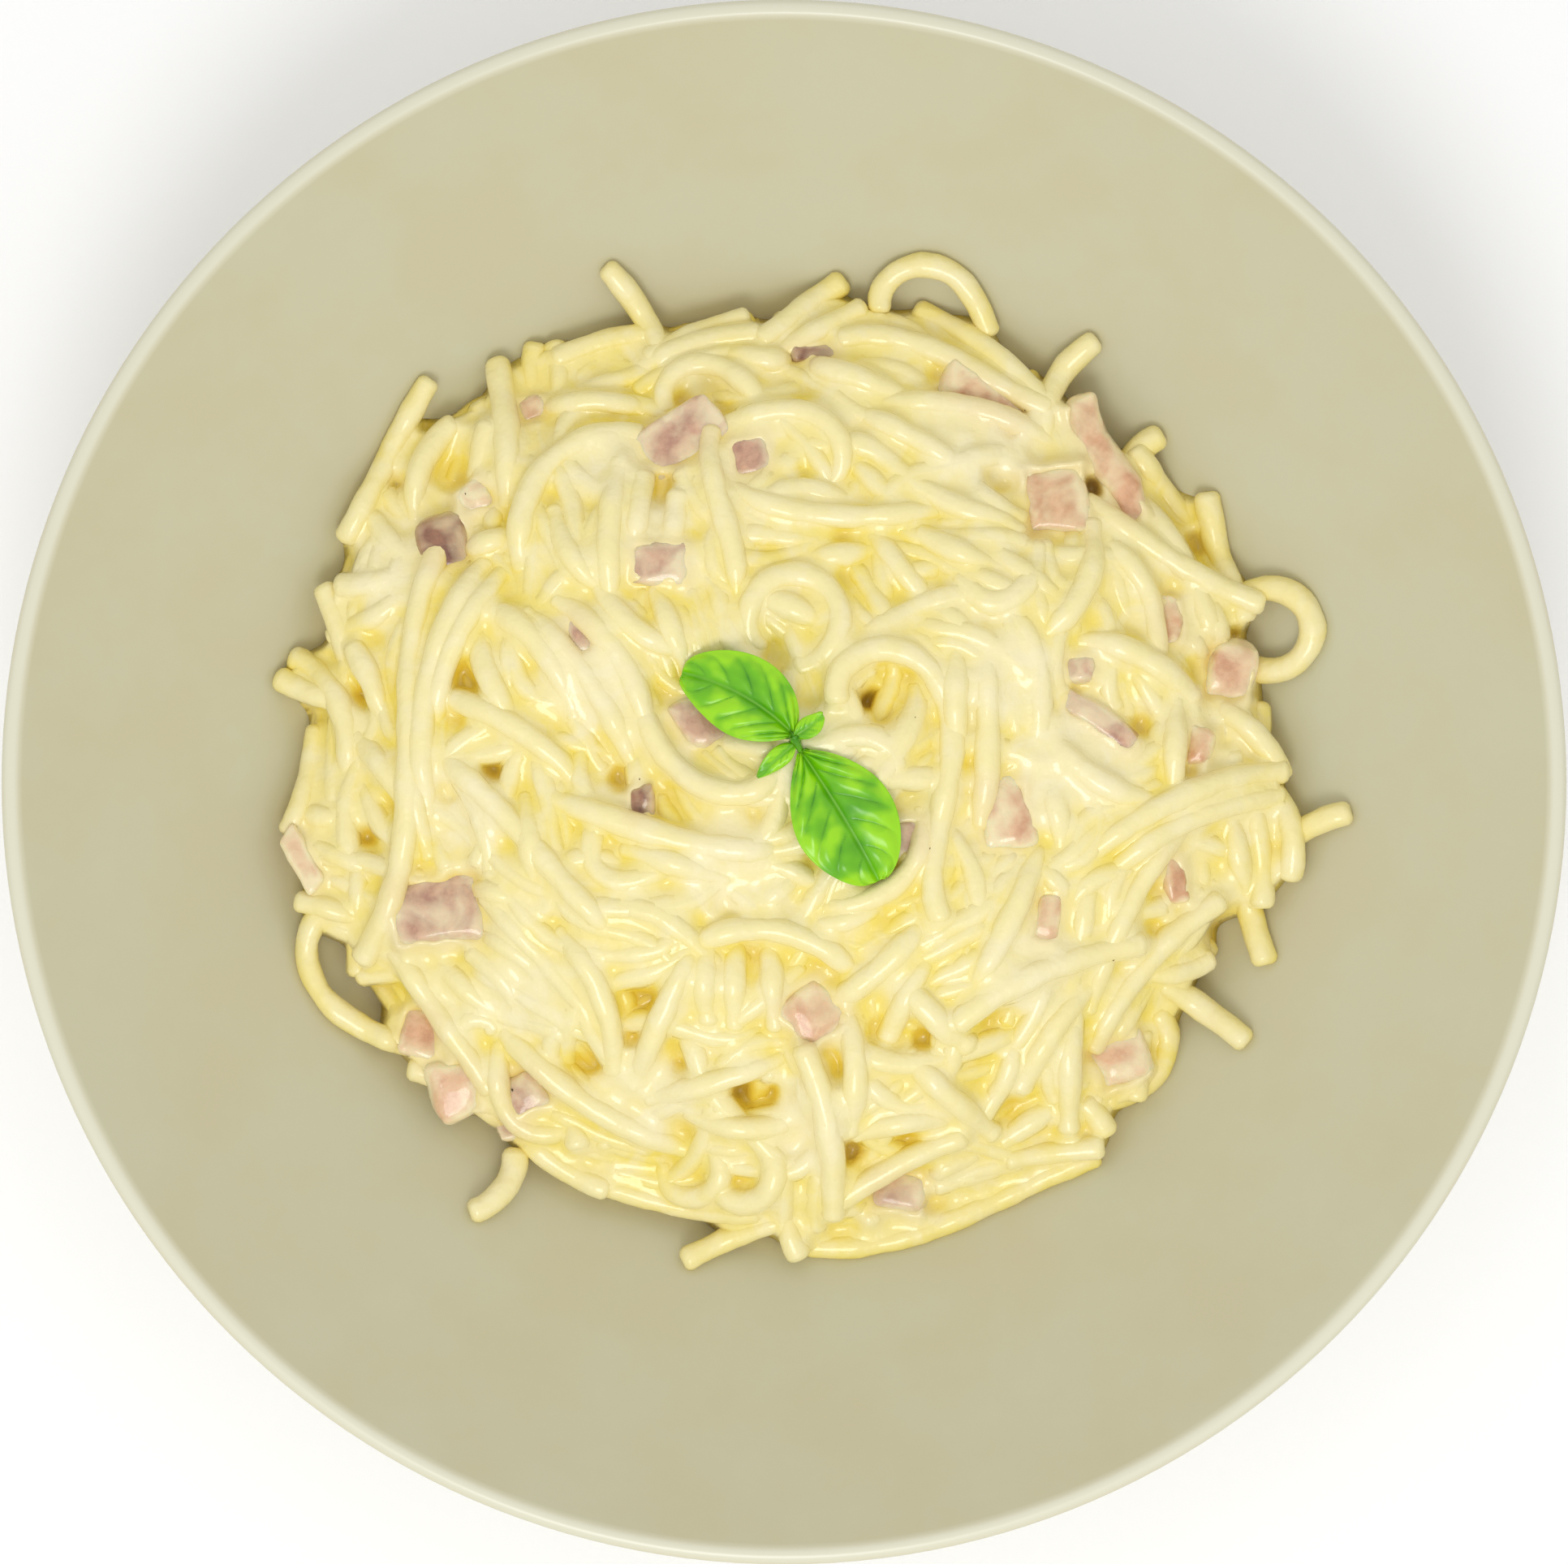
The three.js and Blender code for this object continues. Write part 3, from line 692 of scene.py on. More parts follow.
@dataclass
class HeightMap:
    """The highest point of everything laid so far, seen from above on a square grid."""

    half: float = 84.0  # half the side of the square
    pitch: float = 0.42  # about the distance between grid points
    ball_rings: int = 4  # how finely a resting ball is felt out

    def __post_init__(self) -> None:
        """Makes a level map."""
        count = int(round(2 * self.half / self.pitch)) + 1
        self.axis = np.linspace(-self.half, self.half, count)
        self.step = float(self.axis[1] - self.axis[0])
        self.x, self.y = np.meshgrid(self.axis, self.axis, indexing="ij")
        self.top = np.zeros_like(self.x)

    def sample(self, grid: Array, x: Array, y: Array) -> Array:
        """Reads a grid between its points.

        Args:
            grid: The grid.
            x: Places along X.
            y: Places along Y.

        Returns:
            The grid's value at each place.
        """
        u, v = (np.clip((np.asarray(w) + self.half) / self.step, 0, len(self.axis) - 1.001) for w in (x, y))
        i, j = u.astype(int), v.astype(int)
        a, b = u - i, v - j
        low = grid[i, j] * (1 - b) + grid[i, j + 1] * b
        high = grid[i + 1, j] * (1 - b) + grid[i + 1, j + 1] * b
        return low * (1 - a) + high * a

    def resting(self, x: Array, y: Array, radius: float) -> Array:
        """Lets a ball down at each place.

        Args:
            x: Places along X.
            y: Places along Y.
            radius: The ball's radius.

        Returns:
            Height at which its centre comes to rest.
        """
        spread = np.arange(-radius, radius + 1e-6, radius / self.ball_rings)
        dx, dy = (grid.ravel() for grid in np.meshgrid(spread, spread))
        inside = dx * dx + dy * dy < radius * radius * 0.98
        dx, dy = dx[inside], dy[inside]
        rise = np.sqrt(radius * radius - dx * dx - dy * dy)
        return (self.sample(self.top, x[:, None] + dx, y[:, None] + dy) + rise).max(axis=1)

    def stamp(self, x: Array, y: Array, z: Array, radius: Array) -> None:
        """Raises the map to the tops of balls.

        Args:
            x: The balls' places along X.
            y: Their places along Y.
            z: The heights of their centres.
            radius: Their radii.
        """
        reach = int(math.ceil(radius.max() / self.step))
        window = np.arange(-reach, reach + 1)
        last = len(self.axis) - 1
        row, column = (np.rint((w + self.half) / self.step).astype(int)[:, None, None] for w in (x, y))
        i = np.clip(row + window[None, :, None], 0, last)
        j = np.clip(column + window[None, None, :], 0, last)
        gap = (self.axis[i] - x[:, None, None]) ** 2 + (self.axis[j] - y[:, None, None]) ** 2
        room = (radius**2)[:, None, None] - gap
        i, j = np.broadcast_arrays(i, j)
        inside = room > 0
        tops = np.broadcast_to(z[:, None, None], room.shape)[inside] + np.sqrt(room[inside])
        np.maximum.at(self.top, (i[inside], j[inside]), tops)

    def blurred(self, grid: Array, spread: float) -> Array:
        """Smooths a grid by a bell curve.

        Args:
            grid: The grid.
            spread: The curve's spread in millimetres.

        Returns:
            The smoothed grid.
        """
        turns = np.fft.fftfreq(grid.shape[0], d=self.step)
        bell = np.exp(-2 * (math.pi * spread) ** 2 * (turns[:, None] ** 2 + turns[None, :] ** 2))
        return np.real(np.fft.ifft2(np.fft.fft2(grid) * bell))

    def closed(self, grid: Array, radius: float) -> Array:
        """Rolls a ball over a grid, which bridges the gaps that it can't enter.

        Args:
            grid: The grid.
            radius: The ball's radius.

        Returns:
            The surface that the ball leaves.
        """
        reach = int(radius / self.step)
        steps = [
            (i, j, math.sqrt(max(0.0, radius**2 - (i * i + j * j) * self.step**2)))
            for i in range(-reach, reach + 1)
            for j in range(-reach, reach + 1)
            if (i * i + j * j) * self.step**2 <= radius**2
        ]
        raised = np.full_like(grid, -1e9)
        for i, j, rise in steps:
            np.maximum(raised, np.roll(grid, (i, j), axis=(0, 1)) + rise, out=raised)
        lowered = np.full_like(grid, 1e9)
        for i, j, rise in steps:
            np.minimum(lowered, np.roll(raised, (i, j), axis=(0, 1)) - rise, out=lowered)
        return lowered

    def spots(self, rows: Iterable[tuple[float, ...]], near: float, far: float) -> Array:
        """Draws round spots with soft edges.

        Args:
            rows: The x, y, reach and height of each spot.
            near: Share of the reach at which a spot starts to fall.
            far: Share of the reach at which it ends.

        Returns:
            The height of the spots at each grid point.
        """
        grid = np.zeros_like(self.x)
        for x, y, reach, height in rows:
            gap = np.hypot(self.x - x, self.y - y) / reach
            grid = np.maximum(grid, height * (1 - smooth(gap, near, far)))
        return grid


@dataclass(frozen=True)
class Noodle:
    """One noodle seen from above: where it starts, which way it heads, how long it is and how it bends.

    A bend is the turn, in degrees, that the whole noodle would make if it kept that curvature.
    """

    x: float
    y: float
    heading: float
    length: float
    bend_start: float
    bend_end: float
    tier: Tier

    def path(self, spacing: float) -> Array:
        """Walks along the noodle.

        Args:
            spacing: Distance between points.

        Returns:
            One row of x and y for each point, seen from above.
        """
        count = max(4, int(round(self.length / spacing)))
        share = (np.arange(count) + 0.5) / count
        turn = self.heading + self.bend_start * share + (self.bend_end - self.bend_start) * share**2 / 2
        moves = np.stack([np.cos(np.radians(turn)), np.sin(np.radians(turn))], axis=1) * self.length / count
        return np.vstack([[self.x, self.y], np.cumsum(moves, axis=0) + [self.x, self.y]])


PLATE, LOW, HIGH, TOP = Tier.PLATE, Tier.LOW, Tier.HIGH, Tier.TOP
# x, y, heading, length, bend at the start, bend at the end, tier
SHOWN_NOODLES = [
    Noodle(-25.5, 74.5, -44, 15, -30, -25, LOW),
    Noodle(14, 69.5, 95, 24, -285, -50, LOW),
    Noodle(45, 64, -146, 18, 55, 90, LOW),
    Noodle(54.5, 50.5, -151, 8, 45, 45, LOW),
    Noodle(51.5, 48, -54, 13, 5, 5, LOW),
    Noodle(62, 41.5, -81, 18, 15, 15, HIGH),
    Noodle(67.5, 27.5, 28, 24, -205, -250, LOW),
    Noodle(63, 11, -26, 14, -40, -40, LOW),
    Noodle(81.5, -4.5, -163, 12, 25, 25, LOW),
    Noodle(71, -1, -51, 13, -50, -55, HIGH),
    Noodle(64.5, -4.5, -75, 22, 0, 0, LOW),
    Noodle(68.5, -4.5, -79, 13, -10, -10, HIGH),
    Noodle(67, -37.5, 140, 14, 10, 10, LOW),
    Noodle(55, -34, -53, 20, -180, -90, LOW),
    Noodle(46, -53.5, -175, 13, 5, 5, HIGH),
    Noodle(45.5, -55, -160, 44, 40, -95, LOW),
    Noodle(2, -69, 118, 8, -30, -30, HIGH),
    Noodle(-14, -70, 28, 14, -10, -10, HIGH),
    Noodle(-31.5, -57.5, -17, 28, -15, 65, PLATE),
    Noodle(-26.5, -59.5, 162, 33, -95, 105, LOW),
    Noodle(-45, -62.5, 18, 10, 70, 75, HIGH),
    Noodle(-68, -19.5, -129, 31, 235, -10, LOW),
    Noodle(-70.5, -17.5, -12, 10, -5, -5, HIGH),
    Noodle(-70.5, -4.5, -12, 8, 10, 10, LOW),
    Noodle(-68.5, 7.5, -95, 15, -10, -40, PLATE),
    Noodle(-73.5, 15, -28, 8, 15, 15, HIGH),
    Noodle(-71.5, 18, -21, 21, -110, -55, LOW),
    Noodle(-67, 28, -65, 13, -15, -15, LOW),
    Noodle(-52, 58, -124, 25, 30, -25, LOW),
    Noodle(-42, 61, -77, 21, -15, -15, LOW),
    Noodle(-36.5, 63.5, -102, 7, 20, 20, LOW),
    Noodle(-33.5, 63.5, -73, 8, -25, -25, LOW),
    Noodle(-33, 62, 22, 14, -5, -35, PLATE),
    Noodle(-48.5, 52, -141, 15, 60, 60, LOW),
    Noodle(-43, 51.5, -107, 12, 15, 15, LOW),
    Noodle(-42, 44.5, -89, 8, 0, 0, LOW),
    Noodle(-37.5, 31, 104, 30, -95, -140, HIGH),
    Noodle(-38.5, 35.5, -174, 10, 30, 30, LOW),
    Noodle(-49.5, 34.5, -117, 62, 115, -135, HIGH),
    Noodle(-43, 31.5, -130, 38, 60, 40, HIGH),
    Noodle(-40.5, 30, -132, 25, 25, 60, HIGH),
    Noodle(-40.5, 28.5, -138, 43, 55, 85, LOW),
    Noodle(-36, 53.5, 24, 16, -45, -45, LOW),
    Noodle(-33, 39, -81, 14, 50, 50, LOW),
    Noodle(-23.5, 46, -104, 20, 20, 20, HIGH),
    Noodle(-32.5, 26, -27, 26, -65, -60, HIGH),
    Noodle(-37, 24, -36, 26, -45, -15, HIGH),
    Noodle(-26.5, 28.5, -68, 17, 65, 65, LOW),
    Noodle(-22, 59.5, 35, 19, -35, -35, HIGH),
    Noodle(-21, 57, 33, 19, -30, -30, LOW),
    Noodle(-19.5, 62, 31, 15, -15, -15, LOW),
    Noodle(-3, 64.5, 40, 14, -5, -5, HIGH),
    Noodle(-1, 62, 35, 14, -10, -10, HIGH),
    Noodle(20, 69, -27, 23, -15, -35, LOW),
    Noodle(8.5, 64.5, 14, 32, -125, 55, HIGH),
    Noodle(-11.5, 62, -1, 30, -15, -40, LOW),
    Noodle(-17, 54, 116, 22, -315, -40, HIGH),
    Noodle(-9.5, 51, 22, 26, 10, -330, HIGH),
    Noodle(-10.5, 50.5, -98, 26, 100, -105, HIGH),
    Noodle(-8.5, 42.5, -29, 31, 60, 15, LOW),
    Noodle(10, 53.5, -19, 20, -20, -20, LOW),
    Noodle(14.5, 54.5, 10, 26, -45, -45, HIGH),
    Noodle(2, 32, 4, 11, 5, 5, LOW),
    Noodle(13, 35.5, -54, 11, 5, 5, LOW),
    Noodle(19.5, 35.5, -24, 12, 0, 0, LOW),
    Noodle(-4, 19.5, 125, 34, -300, -290, HIGH),
    Noodle(44, 40.5, -33, 29, -15, 50, HIGH),
    Noodle(44.5, 37, -80, 19, -80, -55, HIGH),
    Noodle(45, 34.5, -15, 23, -140, -25, HIGH),
    Noodle(-43, 25, -16, 21, -85, -30, LOW),
    Noodle(-44, 21.5, -82, 15, 30, 30, LOW),
    Noodle(-62.5, 19.5, -58, 11, -15, -15, LOW),
    Noodle(-62, 6.5, -43, 12, -15, -15, LOW),
    Noodle(-49.5, 12.5, -14, 23, -35, -35, HIGH),
    Noodle(-49.5, 4, -39, 37, -30, 20, LOW),
    Noodle(-37, -2.5, -87, 13, 10, 10, LOW),
    Noodle(-33.5, -2.5, -14, 35, -35, 90, HIGH),
    Noodle(-29, -9, -73, 6, -5, -5, LOW),
    Noodle(-21.5, 13, -69, 32, 5, 290, HIGH),
    Noodle(7.5, 12, 99, 55, -570, 235, TOP),
    Noodle(24.5, 20, -90, 16, 0, 0, HIGH),
    Noodle(29, 20, -91, 26, 15, -35, HIGH),
    Noodle(19.5, -4, -70, 25, -180, -50, HIGH),
    Noodle(15.5, -16, -141, 15, -40, -40, LOW),
    Noodle(42.5, 20.5, -4, 19, -45, -45, HIGH),
    Noodle(56.5, 12, -88, 15, -10, -10, LOW),
    Noodle(72.5, 1.5, -177, 32, 45, 30, HIGH),
    Noodle(72, -2, -177, 28, 45, 35, HIGH),
    Noodle(37.5, 1.5, -68, 11, -20, -20, HIGH),
    Noodle(37.5, 7.5, -57, 20, 50, 50, HIGH),
    Noodle(36.5, -10, -111, 23, -10, -10, LOW),
    Noodle(58, -5.5, -129, 31, 20, 35, HIGH),
    Noodle(63, -17.5, -148, 28, 35, 35, HIGH),
    Noodle(60.5, -11, -81, 7, -15, -15, LOW),
    Noodle(25, -34.5, 43, 29, -55, -10, TOP),
    Noodle(41.5, -33.5, -92, 17, 5, 5, LOW),
    Noodle(37, -38.5, -71, 8, 0, 0, LOW),
    Noodle(62, -26, -147, 12, -60, -60, HIGH),
    Noodle(-57.5, -23, -56, 26, 0, 0, HIGH),
    Noodle(-41, -37.5, -106, 23, 40, 300, HIGH),
    Noodle(-47, -38.5, 116, 9, -155, -205, LOW),
    Noodle(-40.5, -36, -50, 32, 30, 40, HIGH),
    Noodle(-31.5, -48, -64, 5, -20, -20, LOW),
    Noodle(-27, -48, -66, 5, -25, -25, LOW),
    Noodle(-32, -21.5, -47, 22, -45, -45, HIGH),
    Noodle(-12.5, -23, -118, 23, 10, 5, HIGH),
    Noodle(-11, -23, -100, 11, 20, 20, HIGH),
    Noodle(-7, -23, -95, 12, 10, 10, HIGH),
    Noodle(-2, -23, -89, 12, 5, 5, HIGH),
    Noodle(-13.5, -24, 37, 27, -110, -55, HIGH),
    Noodle(2, -26.5, -135, 15, -10, -10, LOW),
    Noodle(20.5, -19.5, -127, 19, -20, -30, HIGH),
    Noodle(16, -27, -56, 15, 20, 20, HIGH),
    Noodle(18, -39.5, -48, 17, 10, 10, HIGH),
    Noodle(3, -38.5, -67, 25, -30, -20, TOP),
    Noodle(9, -33.5, -74, 17, -30, -30, HIGH),
    Noodle(24, -48.5, -178, 14, 15, 15, HIGH),
    Noodle(25.5, -51.5, -159, 20, 15, 15, TOP),
    Noodle(27.5, -54, -152, 18, 10, 10, LOW),
    Noodle(-17.5, -56, -102, 18, 265, 210, LOW),
    Noodle(-9.5, -56, -117, 19, 310, 185, LOW),
    Noodle(-13.5, -47.5, -35, 14, 55, 55, LOW),
    Noodle(-19.5, -45.5, 9, 20, 20, 10, LOW),
    Noodle(47, -51, 120, 5, 15, 15, LOW),
    Noodle(-20.5, 44, -95, 16, -10, 10, LOW),
    Noodle(-15, 41, -100, 11, 5, 5, LOW),
    Noodle(-18.5, 28, -72, 13, 10, 10, LOW),
    Noodle(-6, 28, -24, 15, 0, 10, LOW),
    Noodle(-22.5, -9.5, -18, 15, 5, 5, LOW),
    Noodle(21, -24, -118, 14, 5, 5, LOW),
    Noodle(44, -29, -130, 18, 15, 15, LOW),
    Noodle(52.5, -37, -96, 9, 0, 0, LOW),
]

# gaps that stay open between the noodles: x, y, reach, depth
PITS = [
    (-4.2, -45.0, 2.6, 7.0),
    (14.7, -36.4, 2.4, 7.0),
    (8.5, -53.5, 2.0, 4.0),
    (-23.4, 0.4, 1.6, 5.5),
    (13.5, 10.8, 2.0, 7.0),
    (14.9, 16.1, 1.6, 7.0),
    (26.5, 13.0, 1.6, 7.0),
    (26.5, 9.0, 1.6, 7.0),
    (43.9, 42.1, 3.0, 4.0),
    (-47.1, 15.5, 3.0, 2.5),
    (-41.9, 1.0, 2.5, 3.5),
    (-52.3, -7.7, 2.5, 3.5),
    (-29.1, -39.0, 3.0, 3.5),
    (-22.2, -35.5, 2.5, 3.5),
    (34.6, -44.2, 2.5, 1.5),
]
DEEP_PIT = 5  # a pit deeper than this is also kept clear of hidden noodles

# places where the sauce lies thick: x, y, reach
CREAM_POOLS = [
    (29.0, 49.0, 12.0),
    (33.0, 15.0, 9.0),
    (42.0, 3.0, 11.0),
    (-29.0, 14.0, 9.0),
    (-46.0, -4.0, 8.0),
    (5.0, 2.0, 8.0),
    (-8.0, -12.0, 9.0),
    (-38.0, -31.0, 8.0),
    (-19.0, -46.0, 9.0),
    (4.0, -50.0, 8.0),
    (35.0, -27.0, 9.0),
    (-57.0, 31.0, 8.0),
    (-26.0, 46.0, 7.0),
    (-18.0, 38.0, 4.5),
]


# ---- the ham


@dataclass(frozen=True)
class HamPiece:
    """One piece of diced ham seen from above: its middle, its size, its turn in degrees and its tone."""

    x: float
    y: float
    length: float
    width: float
    thick: float
    turn: float
    tone: HamTone

    def local(self, x: Array, y: Array) -> tuple[Array, Array]:
        """Turns places on the map into places on the piece.

        Args:
            x: Places along X.
            y: Places along Y.

        Returns:
            Distances from the piece's middle along its length and across it.
        """
        angle = math.radians(self.turn)
        u = (x - self.x) * math.cos(angle) + (y - self.y) * math.sin(angle)
        v = -(x - self.x) * math.sin(angle) + (y - self.y) * math.cos(angle)
        return u, v


PINK, MAUVE, SHADED, PALE = HamTone.PINK, HamTone.MAUVE, HamTone.SHADED, HamTone.PALE
# x, y, length, width, thickness, turn, tone
# pieces of the darkest tone carry painted shade: their meat is painted darker where they sit in hollows
HAM_ROWS = [
    (4.1, 62.3, 7.2, 2.6, 5.0, 0, SHADED),
    (-36.9, 54.4, 4.2, 3.9, 4.0, 20, PINK),
    (-14.9, 50.0, 11.6, 7.0, 4.4, 36, MAUVE),
    (-4.8, 47.2, 5.6, 5.6, 5.4, 12, MAUVE),
    (28.9, 55.6, 13.6, 5.6, 4.0, -29, PINK),
    (46.9, 46.8, 20.0, 4.8, 4.6, -62, PINK),
    (39.4, 41.1, 9.8, 10.8, 6.4, 8, PINK),
    (-48.8, 34.6, 6.4, 7.0, 6.0, 10, SHADED),
    (-45.1, 41.2, 5.2, 5.2, 5.0, 30, PALE),
    (-29.5, 21.5, 6.2, 3.2, 4.6, -80, MAUVE),
    (-17.9, 31.5, 8.0, 5.8, 5.0, 0, MAUVE),
    (56.2, 23.3, 4.0, 7.4, 5.4, 6, PINK),
    (64.8, 16.0, 8.0, 9.2, 6.0, -6, PALE),
    (45.9, 8.4, 12.4, 3.2, 5.0, -34, MAUVE),
    (42.6, 16.4, 4.2, 3.8, 4.2, 10, MAUVE),
    (60.2, 5.1, 3.8, 5.8, 5.0, -12, PINK),
    (31.8, -4.6, 7.6, 10.2, 6.6, 4, PALE),
    (-20.8, -2.9, 3.6, 5.2, 4.6, 0, SHADED),
    (-70.2, -11.2, 9.4, 2.8, 3.6, -62, PALE),
    (-50.4, -18.7, 13.4, 10.2, 6.0, 6, MAUVE),
    (4.1, -33.4, 8.2, 8.6, 7.0, 42, PINK),
    (-53.2, -36.6, 6.0, 7.4, 5.6, -8, PINK),
    (-48.2, -45.1, 7.8, 8.8, 5.6, 14, PALE),
    (-37.4, -45.0, 6.6, 6.6, 5.6, 24, MAUVE),
    (-39.6, -50.8, 5.2, 3.0, 4.4, 12, MAUVE),
    (37.8, -19.6, 3.6, 7.0, 5.4, -10, PINK),
    (49.3, -41.1, 8.6, 7.4, 6.2, 22, PALE),
    (16.8, -60.2, 8.4, 6.4, 6.0, -8, MAUVE),
    (57.0, -14.0, 3.2, 6.8, 5.0, 8, PINK),
    (-11.3, 9.2, 8.6, 7.0, 5.4, 24, MAUVE),
    (17.6, -7.8, 5.6, 5.4, 5.0, 0, MAUVE),
]
HAM_PIECES = [HamPiece(*row) for row in HAM_ROWS]


@dataclass(frozen=True)
class HamDice:
    """The diced ham: worn, uneven cubes that lie in the heap."""

    dome: HeapDome
    proud: float = 2.3  # how far a piece stands out of the dome
    lean: float = 0.3  # its tilt, in radians from one extreme to the other
    clearance: float = 0.7  # over the plate's wall
    corner_draws: int = 78  # numbers that the frame's piece draws for its corners before its tilt
    uneven: float = 0.3
    cut_size: float = 9.0  # longest side of an even cube
    worn: float = 0.27  # how far the edges are worn, as a share of the thinnest side
    cuts: int = 3
    smoothings: int = 5
    regain: float = 1.03  # scale that makes up for what smoothing takes off the sides
    waviness: float = 0.07
    wave: float = 2.4
    edge_coat: float = 0.28
    lumps: tuple[tuple[float, float], ...] = ((4.0, 0.5), (1.7, 0.22), (0.8, 0.08))

    def draws(self, number: int) -> Iterator[float]:
        """The stream of numbers that belongs to one piece."""
        return seeded(number * 77 + 5)

    def place(self, number: int) -> tuple[Matrix, float]:
        """Finds where one piece lies.

        Args:
            number: The piece's number, from 1.

        Returns:
            The matrix that turns and moves it, and the height of its middle.
        """
        piece = HAM_PIECES[number - 1]
        random = self.draws(number)
        for _ in range(self.corner_draws):
            next(random)
        lean_x, lean_y = (self.lean * (next(random) - 0.5) for _ in range(2))
        outermost = math.hypot(piece.x, piece.y) + max(piece.length, piece.width) / 2
        resting = float(self.dome.plate.inside(outermost)) + piece.thick / 2 + self.clearance
        middle = max(float(self.dome.height(piece.x, piece.y)) + self.proud - piece.thick / 2, resting)
        turned = Matrix.Rotation(lean_y, 4, "Y") @ Matrix.Rotation(lean_x, 4, "X")
        turned = turned @ Matrix.Rotation(math.radians(piece.turn), 4, "Z")
        return Matrix.Translation((piece.x, piece.y, middle)) @ turned, middle

    def cover(self, field_map: HeightMap) -> tuple[Array, Array]:
        """Finds where the ham lies on a map.

        Args:
            field_map: The map.

        Returns:
            The height of the nearest piece's top, and how far inside its outline each point is.
        """
        tops = np.zeros_like(field_map.x)
        inward = np.full_like(field_map.x, -99.0)
        for number, piece in enumerate(HAM_PIECES, 1):
            u, v = piece.local(field_map.x, field_map.y)
            room = np.minimum(piece.length / 2 - abs(u), piece.width / 2 - abs(v))
            tops = np.where(room > inward, self.place(number)[1] + piece.thick / 2, tops)
            inward = np.maximum(inward, room)
        return tops, inward

    def stamp(self, field_map: HeightMap) -> None:
        """Raises a map to the ham's tops."""
        tops, inward = self.cover(field_map)
        field_map.top = np.where(inward > 0.3, np.maximum(field_map.top, tops), field_map.top)

    def clear_run(self, path: Array, radius: float) -> Array:
        """Keeps a noodle clear of every piece and of the deep pits.

        Args:
            path: The noodle's points, seen from above.
            radius: Its radius.

        Returns:
            The longest run of its points that is clear.
        """
        x, y = path[:, 0], path[:, 1]
        near = np.zeros(len(path), dtype=bool)
        room = radius * 0.8
        for piece in HAM_PIECES:
            u, v = piece.local(x, y)
            near |= (abs(u) < piece.length / 2 + room) & (abs(v) < piece.width / 2 + room)
        for pit_x, pit_y, reach, depth in PITS:
            near |= (np.hypot(x - pit_x, y - pit_y) < 0.8 * reach + radius) & (depth > DEEP_PIT)
        marks = np.flatnonzero(np.diff(np.concatenate([[True], near, [True]]).astype(int)))
        runs = [(marks[i], marks[i + 1]) for i in range(0, len(marks) - 1, 2)]
        if not runs:
            return path[:0]
        low, high = max(runs, key=lambda run: run[1] - run[0])
        return path[low:high]

    def cube(self, number: int) -> tuple[BMesh, Array]:
        """Cuts and wears one piece.

        Args:
            number: The piece's number, from 1.

        Returns:
            The shape round the origin, and how near each vertex is to a side, from 0 to 1.
        """
        piece = HAM_PIECES[number - 1]
        length, width, thick = piece.length, piece.width, piece.thick
        bm = bmesh.new()
        bmesh.ops.create_cube(bm, size=1.0)
        bmesh.ops.scale(bm, vec=(length, width, thick), verts=bm.verts)
        random = self.draws(number)
        for vert in bm.verts:
            vert.co.x += self.uneven * min(length, self.cut_size) * (next(random) - 0.5)
            vert.co.y += self.uneven * min(width, self.cut_size) * (next(random) - 0.5)
        bmesh.ops.bevel(
            bm,
            geom=bm.edges[:],
            offset=self.worn * min(length, width, thick),
            segments=2,
            profile=0.5,
            affect="EDGES",
            material=-1,
        )
        bmesh.ops.subdivide_edges(bm, edges=bm.edges[:], cuts=self.cuts, smooth=0.4, use_grid_fill=True)
        every_way = {"use_axis_x": True, "use_axis_y": True, "use_axis_z": True}
        for _ in range(self.smoothings):
            bmesh.ops.smooth_vert(bm, verts=bm.verts, factor=0.5, **every_way)
        bmesh.ops.scale(bm, vec=(self.regain, self.regain, 1.0), verts=bm.verts)
        square = np.array([vert.co for vert in bm.verts]) / (length / 2, width / 2, thick / 2)
        sway = self.waviness * max(length - self.cut_size, 0.0)
        for vert in bm.verts:
            vert.co.y += sway * math.sin(vert.co.x / self.wave + number)
        return bm, smooth(np.maximum(abs(square[:, 0]), abs(square[:, 1])), 0.45, 1.0)

    def build(self) -> list[Piece]:
        """Makes every piece of ham.

        Returns:
            The pieces, each standing for its own node.
        """
        finishes = {tone: finish.material() for tone, finish in HAM_FINISHES.items()}
        made = []
        for number, ham in enumerate(HAM_PIECES, 1):
            bm, coat = self.cube(number)
            bmesh.ops.transform(bm, matrix=self.place(number)[0], verts=bm.verts)
            bmesh.ops.recalc_face_normals(bm, faces=bm.faces)
            name = f"ham_{number:02d}"
            piece = finish_piece(bm, f"diced_{name}", finishes[ham.tone], [name])
            add_attribute(piece.data, "coat", self.edge_coat * coat)
            roughen(piece.data, self.lumps)
            made.append(piece)
        return made


# ---- the noodles and the sauce


@dataclass(frozen=True)
class Laying:
    """How one group of noodles is let down on the heap, and how finely it is meshed.

    A noodle is pressed in where its top stands over the ceiling and its headroom, and still stands out by its
    give at most. Its dive is how far its ends sink among the others, where they lie well inside the heap.
    """

    radius: float
    headroom: float
    give: float
    dive: float
    sides: int
    ring_step: float


@dataclass
class LaidNoodle:
    """A noodle at rest in the heap: its centre line, its radius along it and how it was laid."""

    line: Array
    radius: Array
    laying: Laying


